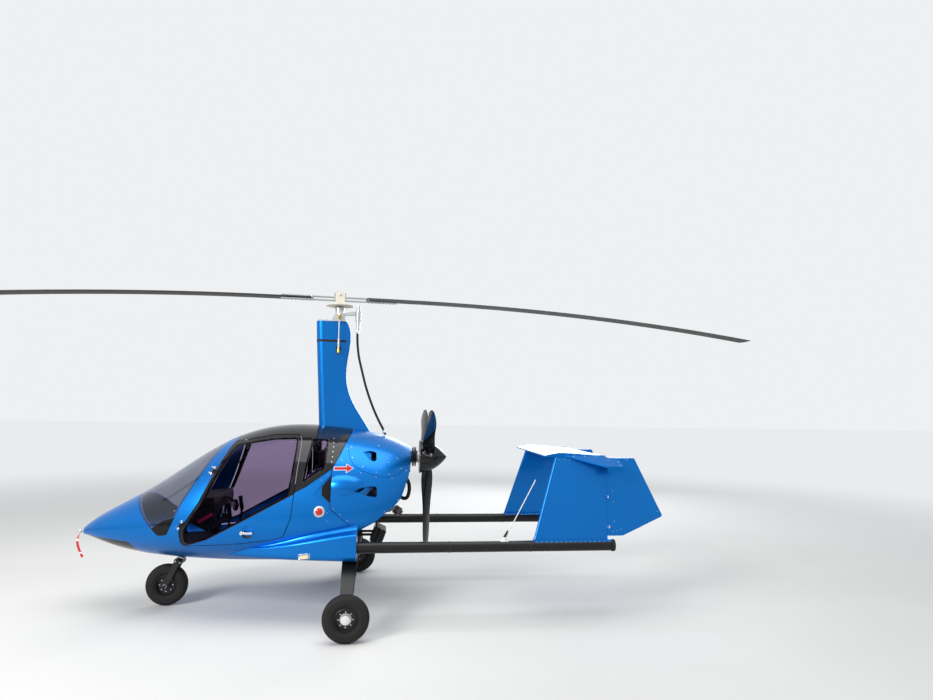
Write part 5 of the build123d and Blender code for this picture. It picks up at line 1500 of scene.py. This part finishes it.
def add_exhaust_details():
    bands, springs, flanges = Shape(), Shape(), Shape()
    for y in (-0.205, 0.205):
        bands.lathe((0.500, y - 0.007, 0.900), STARBOARD, MUFFLER_BAND, 48)
        bands.slab((0.494, y - 0.005, 0.9630), (0.506, y + 0.005, 0.9720), 0.0015)
    bands.piece("muffler_bands", "chrome")
    for x in CYLINDERS_X:
        for side in (-1, 1):
            for dx in (-0.021, 0.021):
                path = []
                for k in range(97):
                    angle = 2 * math.pi * k / 12
                    coil = (math.cos(angle) * SPRING_RADIUS, math.sin(angle) * SPRING_RADIUS)
                    path.append((x + dx + coil[0], side * PORT_Y + coil[1], 1.108 + SPRING_LENGTH * k / 96))
                springs.tube(path, 0.0009, 6)
            flanges.lathe((x, side * PORT_Y, 1.1385), UP, PORT_FLANGE, 32)
            flanges.lathe((x, side * PORT_Y, 1.1025), UP, PIPE_RING, 28)
    springs.piece("exhaust_springs", "chrome")
    flanges.piece("exhaust_flanges", "hot_steel")
    way = (TAIL_PIPE_END - TAIL_PIPE_START).normalized()
    Shape().lathe(TAIL_PIPE_END - way * 0.012, way, TAIL_PIPE_LIP, 36).piece("tail_pipe_lip", "hot_steel")
    Shape().lathe(TAIL_PIPE_END - way * 0.0820, way, TAIL_PIPE_SLEEVE, 44).piece("tail_pipe_sleeve", "hot_steel")


def add_cooler_details():
    along = (COOLER_HIGH - COOLER_LOW).normalized()
    out = Vector((-along.z, 0, along.x))
    fins = []
    for foot, way in ((COOLER_LOW, out), (COOLER_REAR, -out)):
        fins += [(foot + along * (0.010 + 0.0074 * k) + way * 0.0025 + COOLER_MIDDLE, way) for k in range(17)]
    slats("cooler_fins", "black_steel", fins, (0.0026, 0.224, 0.0070))
    tanks = Shape()
    for y in (-0.327, -0.093):
        ends = [COOLER_LOW + along * 0.004 + STARBOARD * y, COOLER_HIGH - along * 0.004 + STARBOARD * y]
        for end in ends:
            tanks.lathe(end - out * 0.002, -out, TANK_BOSS, 12)
        tanks.tube([end - out * 0.052 for end in ends], 0.0135, 14)
    tanks.piece("cooler_tanks", "black_steel")


# Cabin: seats on the floor, each a shell under padded pieces
SEAT_Y = 0.235
FLOOR_TOP = 0.5723
BACK_LEAN = math.atan2(0.285, 0.580)
PAD_CUTS = 15
ON_SIDE = 0.999
CROWN_POWER = 2.4
SEAM_DEPTH, SEAM_WIDTH = 0.007, 0.006
PAD_PRESSURE = 4.0
PAD_FRAMES = 14
STRAP_ACROSS = (-0.024, -0.012, 0, 0.012, 0.024)


def soft_block(low, high, edge, puff, turn, seams):
    """A crowned pad: a block of fine faces, swollen in the middle of each side, with its corners drawn in."""
    middle, half = (low + high) / 2, (high - low) / 2
    block = bmesh.new()
    bmesh.ops.create_cube(block, size=2)
    bmesh.ops.subdivide_edges(block, edges=block.edges[:], cuts=PAD_CUTS, use_grid_fill=True)
    for vertex in block.verts:
        p = vertex.co.copy()
        inner = Vector([max(-1, min(1, p[i])) * (half[i] - edge) for i in range(3)])
        away = Vector([p[i] * half[i] for i in range(3)]) - inner
        if away.length > 0:
            inner += away.normalized() * edge
        crown = 1.0
        for i in range(3):
            if abs(p[i]) < ON_SIDE:
                crown *= 1 - abs(p[i]) ** CROWN_POWER
        for i in range(3):
            if abs(p[i]) > ON_SIDE:
                inner[i] += math.copysign(puff[i] * crown, p[i])
        if p.z > ON_SIDE:
            for x in seams:
                inner.z -= SEAM_DEPTH * math.exp(-(((inner.x - x) / SEAM_WIDTH) ** 2))
        vertex.co = inner
    block.verts.index_update()
    points = [middle + turn @ vertex.co for vertex in block.verts]
    faces = [[vertex.index for vertex in face.verts] for face in block.faces]
    block.free()
    return points, faces


def swell(piece, cap):
    """Lets cloth under a little air pressure settle the pad's shape, holding each point near where it began."""
    start = [vertex.co.copy() for vertex in piece.data.vertices]
    cloth = piece.modifiers.new("air", "CLOTH")
    cloth.settings.use_pressure = True
    cloth.settings.uniform_pressure_force = PAD_PRESSURE
    cloth.settings.effector_weights.gravity = 0
    cloth.settings.quality = 5
    cloth.settings.tension_stiffness = 18
    cloth.settings.compression_stiffness = 12
    cloth.settings.bending_stiffness = 0.6
    cloth.point_cache.frame_start = 1
    cloth.point_cache.frame_end = PAD_FRAMES
    for frame in range(1, PAD_FRAMES + 1):
        SCENE.frame_set(frame)
    seen = bpy.context.evaluated_depsgraph_get()
    settled = piece.evaluated_get(seen)
    moved = [vertex.co.copy() for vertex in settled.data.vertices]
    piece.modifiers.remove(cloth)
    SCENE.frame_set(1)
    for vertex, before, after in zip(piece.data.vertices, start, moved):
        step = after - before
        if step.length > cap:
            step = step.normalized() * cap
        vertex.co = before + step


def pad(name, x, y, z, edge, puff, turn, finish="seat", cap=0.008, seams=()):
    """A padded piece, given by its two ends along x and y, and by its two heights above the floor."""
    low, high = Vector((x[0], y[0], FLOOR_TOP + z[0])), Vector((x[1], y[1], FLOOR_TOP + z[1]))
    points, faces = soft_block(low, high, edge, puff, turn, seams)
    piece = Shape().add(points, faces).piece(name, finish, sharp=70)
    swell(piece, cap)
    smooth = piece.modifiers.new("smooth", "SUBSURF")
    smooth.levels = 1
    smooth.render_levels = 1
    return piece


def add_seats():
    lean = Matrix.Rotation(BACK_LEAN, 3, "Y")
    tilt, nod, buckle_lean = [Matrix.Rotation(math.radians(degrees), 3, "Y") for degrees in (4, -4, 30)]
    pads = []
    for name, side in SIDES:
        y = side * SEAT_Y
        shell = Shape().slab((-0.835, y - 0.196, FLOOR_TOP + 0.001), (-0.345, y + 0.196, FLOOR_TOP + 0.060), 0.014)
        shell.slab((-0.245, y - 0.196, FLOOR_TOP + 0.020), (-0.215, y + 0.196, FLOOR_TOP + 0.660), 0.012, lean)
        shell.piece(f"seat_shell_{name}", "black_steel")
        pads.append(pad(f"seat_cushion_{name}", (-0.815, -0.405), (y - 0.150, y + 0.150), (0.055, 0.122),
                        0.020, (0.006, 0.004, 0.012), tilt, seams=(-0.070, 0.070)))
        pads.append(pad(f"seat_back_{name}", (-0.300, -0.243), (y - 0.148, y + 0.148), (0.100, 0.640),
                        0.020, (0.010, 0.004, 0.006), lean, "seat_blue"))
        for end, label in ((-1, "port"), (1, "starboard")):
            across = (y + end * 0.180 - 0.025, y + end * 0.180 + 0.025)
            pads.append(pad(f"seat_side_{name}_{label}", (-0.805, -0.420), across, (0.080, 0.160),
                            0.018, (0.004, 0.003, 0.005), tilt, cap=0.005))
            pads.append(pad(f"back_side_{name}_{label}", (-0.312, -0.225), across, (0.130, 0.600),
                            0.018, (0.005, 0.003, 0.004), lean, cap=0.005))
        pads.append(pad(f"head_rest_{name}", (-0.113, -0.060), (y - 0.108, y + 0.108), (0.665, 0.815),
                        0.020, (0.007, 0.005, 0.005), nod, cap=0.005))
        stays, piping, straps = Shape(), Shape(), Shape()
        middle = Vector((-0.2715, y, FLOOR_TOP + 0.370))
        push = lean @ Vector((-0.0022, 0, 0))
        for end in (-1, 1):
            stay_y = y + end * 0.050
            stays.tube([(-0.120, stay_y, FLOOR_TOP + 0.600), (-0.088, stay_y, FLOOR_TOP + 0.700)], 0.006, 12)
            line = []
            for k in range(13):
                share = k / 12
                bulge = 0.034 + 0.004 * math.sin(math.pi * share)
                line.append(middle + lean @ Vector((-bulge, end * 0.1495, -0.262 + 0.524 * share)))
            piping.tube(line, 0.0038, 8)
            rows, unders = [], []
            for k in range(15):
                share = k / 14
                bulge = 0.044 + 0.007 * math.sin(math.pi * share)
                apart = Vector((0, end * (0.050 + 0.028 * (1 - share)), 0))
                at = middle + apart + lean @ Vector((-bulge, 0, -0.285 + 0.570 * share))
                unders.append([at + Vector((0, dy, 0)) for dy in STRAP_ACROSS])
                rows.append([point + push for point in unders[-1]])
            straps.plate(rows, unders)
        stays.piece(f"head_rest_stays_{name}", "chrome")
        piping.piece(f"seat_piping_{name}", "white")
        straps.piece(f"harness_{name}", "webbing")
        buckle_low = (-0.452, y - 0.030, FLOOR_TOP + 0.140)
        buckle = Shape().slab(buckle_low, (-0.420, y + 0.030, FLOOR_TOP + 0.186), 0.006, buckle_lean)
        buckle.piece(f"harness_buckle_{name}", "aluminium")
    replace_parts(pads[0], "seats")


# Instrument panel: its face leans away from the seats
PANEL_LOW = Vector((-1.0100, 0, 0.690))
PANEL_HIGH = Vector((-0.9790, 0, 0.905))
PANEL_RISE = PANEL_HIGH - PANEL_LOW
PANEL_UP = PANEL_RISE.normalized()
PANEL_OUT = Vector((PANEL_RISE.z, 0, -PANEL_RISE.x)).normalized()

# Dials: place across, share of the face's height, and radius
DIALS = [
    (-0.285, 0.70, 0.036), (-0.200, 0.70, 0.036), (-0.285, 0.28, 0.029), (-0.205, 0.28, 0.029),
    (0.215, 0.70, 0.036), (0.295, 0.70, 0.029), (0.295, 0.30, 0.029), (0.215, 0.30, 0.029),
]
BEZEL_STEPS = [(0, 0.001), (0.0050, 0.001), (0.0050, 0.0055), (0.0035, 0.0070), (0, 0.0060), (0, 0.001)]
DISPLAYS = [(-0.150, 0.005), (0.018, 0.172)]
SWITCH = [(0, 0), (0.0075, 0), (0.0075, 0.0016), (0.0028, 0.0022), (0.0024, 0.013), (0.0034, 0.016), (0, 0.0175)]

# Cheeks close the pod's two sides: x and z of their corners, and the two faces' distance from the middle
PANEL_CHEEK = [
    (-1.028, 0.702), (-1.012, 0.702), (-0.979, 0.930), (-0.991, 0.982), (-1.190, 0.955), (-1.334, 0.856),
]
CHEEK_INNER, CHEEK_OUTER = 0.3472, 0.3502


def on_panel(y, share, out=0.0):
    """A point on the panel's face: share 0 is its lower edge and 1 its upper one."""
    return PANEL_LOW + PANEL_RISE * share + Vector((0, y, 0)) + PANEL_OUT * out


def panel_way(angle):
    """A direction in the panel's face."""
    return Vector((0, math.cos(angle), 0)) + PANEL_UP * math.sin(angle)


def add_dials():
    bezels, dials, marks = Shape(), Shape(), Shape()
    for y, share, radius in DIALS:
        bezel = [(radius + wide, out) for wide, out in BEZEL_STEPS]
        bezels.lathe(on_panel(y, share, -0.002), PANEL_OUT, bezel, 40)
        disc = [(0, 0), (radius + 0.0005, 0), (radius + 0.0005, 0.0030), (0, 0.0030)]
        dials.lathe(on_panel(y, share, -0.001), PANEL_OUT, disc, 40)
        way = panel_way(92 * y)
        middle = on_panel(y, share, 0.0040)
        marks.tube([middle - way * 0.006, middle + way * radius * 0.82], [0.0014, 0.0006], 6)
        middle -= PANEL_OUT * 0.0012
        for k in range(12):
            way = panel_way(2 * math.pi * k / 12)
            marks.tube([middle + way * radius * 0.84, middle + way * radius * 0.95], 0.0008, 5)
    bezels.piece("dial_bezels", "black_steel")
    dials.piece("dial_faces", "dial_black")
    marks.piece("dial_marks", "white")


def add_panel():
    frames, screens, knobs, cheeks = Shape(), Shape(), Shape(), Shape()
    lean = Matrix.Rotation(math.atan2(PANEL_UP.x, PANEL_UP.z), 3, "Y")
    for y_low, y_high in DISPLAYS:
        middle = on_panel((y_low + y_high) / 2, 0.62, 0.003)
        half = Vector((0.005, (y_high - y_low) / 2, 0.059))
        frames.slab(middle - half, middle + half, 0.004, lean)
        middle += PANEL_OUT * 0.0046
        half = Vector((0.0016, (y_high - y_low) / 2 - 0.010, 0.047))
        screens.slab(middle - half, middle + half, 0.0008, lean)
    frames.piece("display_frames", "matt_black")
    screens.piece("display_screens", "screen")
    for k in range(9):
        knobs.lathe(on_panel(-0.128 + 0.033 * k, 0.16, -0.001), PANEL_OUT, SWITCH, 14)
    knobs.piece("panel_switches", "chrome")
    roll = Shape().tube([(-0.9885, -0.344, 0.9885), (-0.9885, 0.344, 0.9885)], 0.0065, 14)
    roll.piece("glare_shield_roll", "seal")
    for side in (-1, 1):
        cheeks.prism(PANEL_CHEEK, side * CHEEK_INNER, side * CHEEK_OUTER)
    cheeks.piece("panel_cheeks", "matt_black")
    slope = Matrix.Rotation(math.radians(-31), 3, "Y")
    low = (-1.118, -CHEEK_OUTER - 0.0022, 0.8030)
    stripe = Shape().slab(low, (-0.982, -CHEEK_OUTER + 0.0008, 0.8290), 0.001, slope)
    stripe.piece("panel_end_stripe", "magenta")


# Round gauge in its diamond bezel, on a stalk from the panel
GAUGE = Vector((-0.863, -0.100, 0.888))
GAUGE_OUT = Matrix.Rotation(math.radians(-58), 3, "Z") @ -STARBOARD
GAUGE_FLAT = GAUGE_OUT.cross(UP).normalized()
GAUGE_RIM = [(0.0345, 0), (0.0375, 0), (0.0375, 0.0045), (0.0345, 0.0045), (0.0345, 0)]
DIAMOND_CORNERS = 32
DIAMOND_REACH = 0.052
DIAMOND_POWER = 1.35
# Rings from back to front: distance along the gauge's axis, and scale
DIAMOND_RINGS = [(-0.022, 0.80), (-0.016, 1.0), (0.004, 1.0), (0.007, 0.95)]
# Hands: angle and length
GAUGE_HANDS = [(2.2, 0.024), (0.6, 0.017), (4.1, 0.020)]


def gauge_way(angle):
    """A direction in the gauge's face."""
    return GAUGE_FLAT * math.cos(angle) + UP * math.sin(angle)


def add_gauge():
    points, faces = [], []
    for push, scale in DIAMOND_RINGS:
        for k in range(DIAMOND_CORNERS):
            angle = 2 * math.pi * k / DIAMOND_CORNERS
            spread_out = abs(math.cos(angle)) ** DIAMOND_POWER + abs(math.sin(angle)) ** DIAMOND_POWER
            reach = DIAMOND_REACH / spread_out ** (1 / DIAMOND_POWER)
            points.append(GAUGE + GAUGE_OUT * push + gauge_way(angle) * reach * scale)
    for low in range(0, 3 * DIAMOND_CORNERS, DIAMOND_CORNERS):
        high = low + DIAMOND_CORNERS
        for k in range(DIAMOND_CORNERS):
            after = (k + 1) % DIAMOND_CORNERS
            faces.append([low + k, low + after, high + after, high + k])
    faces.append(list(range(DIAMOND_CORNERS - 1, -1, -1)))
    faces.append(list(range(3 * DIAMOND_CORNERS, 4 * DIAMOND_CORNERS)))
    Shape().add(points, faces).piece("gauge_bezel", "matt_black")
    front = GAUGE + GAUGE_OUT * 0.0060
    disc = Shape().lathe(front, GAUGE_OUT, [(0, 0), (0.0345, 0), (0.0345, 0.0030), (0, 0.0030)], 48)
    disc.piece("gauge_dial", "dial_white")
    Shape().lathe(front, GAUGE_OUT, GAUGE_RIM, 48).piece("gauge_rim", "chrome")
    marks = Shape()
    middle = GAUGE + GAUGE_OUT * 0.0092
    for k in range(16):
        way = gauge_way(2 * math.pi * k / 16)
        marks.tube([middle + way * 0.026, middle + way * 0.032], 0.0008, 5)
    middle = GAUGE + GAUGE_OUT * 0.0098
    for angle, long in GAUGE_HANDS:
        way = gauge_way(angle)
        marks.tube([middle - way * 0.005, middle + way * long], [0.0020, 0.0008], 6)
    marks.piece("gauge_marks", "dial_black")
    line = [(-0.985, -0.070, 0.940), (-0.940, -0.080, 0.958), (-0.890, -0.092, 0.935), GAUGE - GAUGE_OUT * 0.020]
    Shape().tube(smooth_path(line), 0.009, 12).piece("gauge_stalk", "matt_black")


# Sticks: the grip's axis, and the boot's foot and axis, at the middle of the seat
GRIP_FOOT = Vector((-0.870, 0, 0.800))
GRIP_WAY = Vector((-0.020, 0, 0.120))
BOOT_FOOT = Vector((-0.9000, 0, FLOOR_TOP + 0.001))
BOOT_WAY = (0.028, 0, 0.228)


def add_sticks():
    grip, boot = [(0, -0.004), (0.0150, -0.004), (0.0162, 0.004)], [(0, 0)]
    for k in range(6):
        z = 0.012 + 0.016 * k
        grip += [(0.0172, z), (0.0186, z + 0.006), (0.0172, z + 0.013)]
    grip += [(0.0192, 0.112), (0.0195, 0.122), (0.0150, 0.1275), (0, 0.128)]
    for k in range(5):
        z, radius = 0.002 + 0.011 * k, 0.044 - 0.005 * k
        boot += [(radius, z), (radius + 0.003, z + 0.004), (radius - 0.002, z + 0.009)]
    boot += [(0.0100, 0.060), (0, 0.060)]
    grips, boots = Shape(), Shape()
    for side in (-1, 1):
        across = STARBOARD * side * SEAT_Y
        grips.lathe(GRIP_FOOT + across, GRIP_WAY, grip, 28)
        boots.lathe(BOOT_FOOT + across, BOOT_WAY, boot, 32)
    grips.piece("stick_grips", "rubber")
    boots.piece("stick_boots", "rubber")


# Nose: landing lamps behind the chin lens, pitot collar and the ribbon
LANDING_LAMP = Vector((-1.800, 0.080, 0.640))
LANDING_AIM = (-0.80, 0, -0.60)
LAMP_DISH = [
    (0, 0.0), (0.020, 0.004), (0.034, 0.018), (0.040, 0.034), (0.0425, 0.034), (0.0425, 0.031), (0.036, 0.015),
    (0.022, 0.0), (0, -0.004),
]
LAMP_BULB = [(0, 0.010), (0.008, 0.012), (0.008, 0.020), (0, 0.024)]
PITOT_COLLAR = [(0.0079, 0), (0.0088, 0.001), (0.0088, 0.010), (0.0082, 0.012), (0.0079, 0.012), (0.0079, 0)]
# The ribbon hangs along a curve through three places, from its held edge down
RIBBON_LINE = [(-2.190, 0.6486), (-2.214, 0.540), (-2.160, 0.428)]
RIBBON_STEPS = 40
RIBBON_HALF = 0.014
RIBBON_TURN = 1.15
RIBBON_SKIN = 0.0005


def add_nose_details():
    lamps, bulbs = Shape(), Shape()
    for side in (-1, 1):
        foot = LANDING_LAMP * Vector((1, side, 1))
        lamps.lathe(foot, LANDING_AIM, LAMP_DISH, 40)
        bulbs.lathe(foot, LANDING_AIM, LAMP_BULB, 20)
    lamps.piece("landing_lamp_dishes", "chrome")
    bulbs.piece("landing_lamp_bulbs", "white")
    Shape().lathe((-2.176, 0, 0.657), (-1, 0, 0), PITOT_COLLAR, 20).piece("pitot_collar", "seal")


def add_ribbon():
    first, middle, last = [Vector((x, 0, z)) for x, z in RIBBON_LINE]
    control = middle * 2 - (first + last) / 2
    rows, unders = [], []
    for k in range(RIBBON_STEPS + 1):
        t = k / RIBBON_STEPS
        at = first * (1 - t) ** 2 + control * 2 * t * (1 - t) + last * t**2
        slope = (control - first) * 2 * (1 - t) + (last - control) * 2 * t
        across = Vector((slope.z, 0, -slope.x)).normalized()
        ripple = 0.0045 * math.sin(7.0 * t) * t
        twist = RIBBON_TURN * min(1.0, 3.0 * t)
        row, under = [], []
        for j in range(9):
            shift = RIBBON_HALF * (j / 4 - 1)
            curl = 0.0016 * (shift / RIBBON_HALF) ** 2 * (0.3 + t)
            side = Vector((0, shift * math.cos(twist), 0))
            point = at + side + across * (shift * math.sin(twist) + ripple + curl)
            row.append(point + across * RIBBON_SKIN)
            under.append(point - across * RIBBON_SKIN)
        rows.append(row)
        unders.append(under)
    piece = Shape().plate(rows, unders).piece("pitot_cover_ribbon", "ribbon", sharp=60)
    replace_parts(piece, "pitot_ribbon")


# Frames of the lamps in the sponsons, and the ferrules at the drive shaft's two ends
LAMP_FRAME = [(-0.214, 0.5405), (-0.122, 0.5485), (-0.122, 0.5875), (-0.214, 0.5815), (-0.214, 0.5405)]
SHAFT_ENDS = [
    ((0.172, -0.004, 2.5065), (0.002, -0.002, -0.1167)),
    ((0.4550, -0.0368, 1.541), (-0.022, -0.002, 0.050)),
]
FERRULE = [
    (0.0112, 0), (0.0150, 0), (0.0158, 0.002), (0.0158, 0.016), (0.0140, 0.018), (0.0140, 0.030), (0.0112, 0.031),
    (0.0112, 0),
]


def add_lamp_trim():
    for name, side in SIDES:
        skin = Skin(f"sponson_{name}", "nav_lights")
        line = [skin.look((x, side * 3, z), (0, -side, 0))[0] for x, z in spread(LAMP_FRAME, 0.01)]
        Shape().tube(line, 0.0026, 8).piece(f"nav_lamp_frame_{name}", "chrome")


def add_shaft_ferrules():
    shape = Shape()
    for foot, way in SHAFT_ENDS:
        shape.lathe(foot, way, FERRULE, 28)
    shape.piece("drive_shaft_ferrules", "chrome")


dress_nodes()
add_body_screws()
add_arrows()
add_seals()
add_mouth_shades()
add_fuel_cap()
add_door_levers()
add_hinge_caps()
add_wheels()
add_gear_details()
add_tail_details()
add_antenna_foot()
add_mast_details()
add_head_details()
add_rotor_details()
add_propeller_details()
add_hoses()
add_engine_details()
add_exhaust_details()
add_cooler_details()
add_seats()
add_dials()
add_panel()
add_gauge()
add_sticks()
add_nose_details()
add_ribbon()
add_lamp_trim()
add_shaft_ferrules()

# Camera fitted to the photo
CAMERA_PLACE = Vector((0.474, -6.198, 1.785))
CAMERA_YAW = math.radians(6.896)
CAMERA_PITCH = math.radians(5.150)
CAMERA_ROLL = math.radians(0.8265)
CAMERA_FOCAL_PX = 644.34
IMAGE_WIDTH_PX = 933
SENSOR_MM = 36


def add_camera():
    data = bpy.data.cameras.new("camera")
    data.sensor_width = SENSOR_MM
    data.lens = CAMERA_FOCAL_PX * SENSOR_MM / IMAGE_WIDTH_PX
    data.clip_end = 200
    camera = bpy.data.objects.new("camera", data)
    level = math.cos(CAMERA_PITCH)
    forward = Vector((math.sin(CAMERA_YAW) * level, math.cos(CAMERA_YAW) * level, math.sin(CAMERA_PITCH)))
    right = Vector((math.cos(CAMERA_YAW), -math.sin(CAMERA_YAW), 0))
    up = right.cross(forward)
    rolled_right = right * math.cos(CAMERA_ROLL) + up * math.sin(CAMERA_ROLL)
    rolled_up = up * math.cos(CAMERA_ROLL) - right * math.sin(CAMERA_ROLL)
    turn = Matrix((rolled_right, rolled_up, -forward)).transposed()
    camera.matrix_world = Matrix.Translation(CAMERA_PLACE) @ turn.to_4x4()
    SCENE.collection.objects.link(camera)
    SCENE.camera = camera


# Area lights: name, place, what they point at, size, power and colour
LIGHTS = [
    ("key", (-6.5, -7.5, 6.0), (-0.4, 0, 1.0), (3.5, 3.5), 900, (1.0, 0.98, 0.95)),
    ("overhead", (0.0, -1.0, 7.5), (0, 0, 1.0), (9.0, 5.0), 420, (1, 1, 1)),
    ("back", (4.0, 8.0, 4.0), (0.5, 0, 1.0), (6.0, 3.0), 350, (0.95, 0.98, 1.0)),
]
FLOOR_REACH = 60
FLOOR_DARK, FLOOR_LIGHT = (0.62, 0.62, 0.61), (0.68, 0.68, 0.67)
FLOOR_GLOW, FLOOR_GLOW_STRENGTH = (0.86, 0.88, 0.90, 1), 0.95
HAZE_START, HAZE_END = 4.0, 15.0
# The world's colour and strength as fill light, and as what is seen
WORLD_FILL = (0.93, 0.96, 1.0, 1), 0.45
WORLD_SEEN = (0.90, 0.92, 0.94, 1), 0.95


def add_lights():
    for name, place, aim, size, power, colour in LIGHTS:
        data = bpy.data.lights.new(name, "AREA")
        data.shape = "RECTANGLE"
        data.size, data.size_y = size
        data.energy = power
        data.color = colour
        light = bpy.data.objects.new(name, data)
        turn = (Vector(aim) - Vector(place)).to_track_quat("-Z", "Y").to_matrix().to_4x4()
        light.matrix_world = Matrix.Translation(place) @ turn
        SCENE.collection.objects.link(light)


def add_floor():
    """A pale floor that fades into a pale glow with distance."""
    mesh = bpy.data.meshes.new("floor")
    corners = [(-1, -1), (1, -1), (1, 1), (-1, 1)]
    mesh.from_pydata([(FLOOR_REACH * x, FLOOR_REACH * y, 0) for x, y in corners], [], [(0, 1, 2, 3)])
    floor = bpy.data.objects.new("floor", mesh)
    SCENE.collection.objects.link(floor)
    finish = Finish("floor")
    colour = finish.mix(finish.noise(0.8, 3, 0.6), FLOOR_DARK, FLOOR_LIGHT)
    ground = finish.principled(Base_Color=colour, Roughness=0.9, Specular_IOR_Level=0.2)
    x, y, _ = finish.xyz()
    away = (x * x + y * y).root()
    ranges = {"Value": away, "From Min": HAZE_START, "From Max": HAZE_END}
    haze = finish.node("ShaderNodeMapRange", {"interpolation_type": "SMOOTHSTEP"}, ranges)
    glow = finish.node("ShaderNodeEmission", {}, {"Color": FLOOR_GLOW, "Strength": FLOOR_GLOW_STRENGTH})
    seen = finish.node("ShaderNodeLightPath", {}, {})
    shown = finish.node("ShaderNodeMixShader", {}, {0: haze * seen, 1: ground, 2: glow})
    mesh.materials.append(finish.done(shown))


def add_world():
    """Fill light, and a paler tone for rays that see the world straight, through glass or in a mirror."""
    world = bpy.data.worlds.new("studio")
    SCENE.world = world
    world.use_nodes = True
    tree = world.node_tree
    tree.nodes.clear()
    mixed = tree.nodes.new("ShaderNodeMixShader")
    for k, (colour, strength) in enumerate((WORLD_FILL, WORLD_SEEN)):
        background = tree.nodes.new("ShaderNodeBackground")
        background.inputs["Color"].default_value = colour
        background.inputs["Strength"].default_value = strength
        tree.links.new(background.outputs[0], mixed.inputs[k + 1])
    path = tree.nodes.new("ShaderNodeLightPath")
    seen = path.outputs["Is Camera Ray"]
    for kind in ("Is Transmission Ray", "Is Glossy Ray"):
        either = tree.nodes.new("ShaderNodeMath")
        either.operation = "MAXIMUM"
        tree.links.new(seen, either.inputs[0])
        tree.links.new(path.outputs[kind], either.inputs[1])
        seen = either.outputs[0]
    tree.links.new(seen, mixed.inputs[0])
    output = tree.nodes.new("ShaderNodeOutputWorld")
    tree.links.new(mixed.outputs[0], output.inputs[0])


add_camera()
add_floor()
add_world()
add_lights()
SCENE.view_settings.view_transform = "Standard"
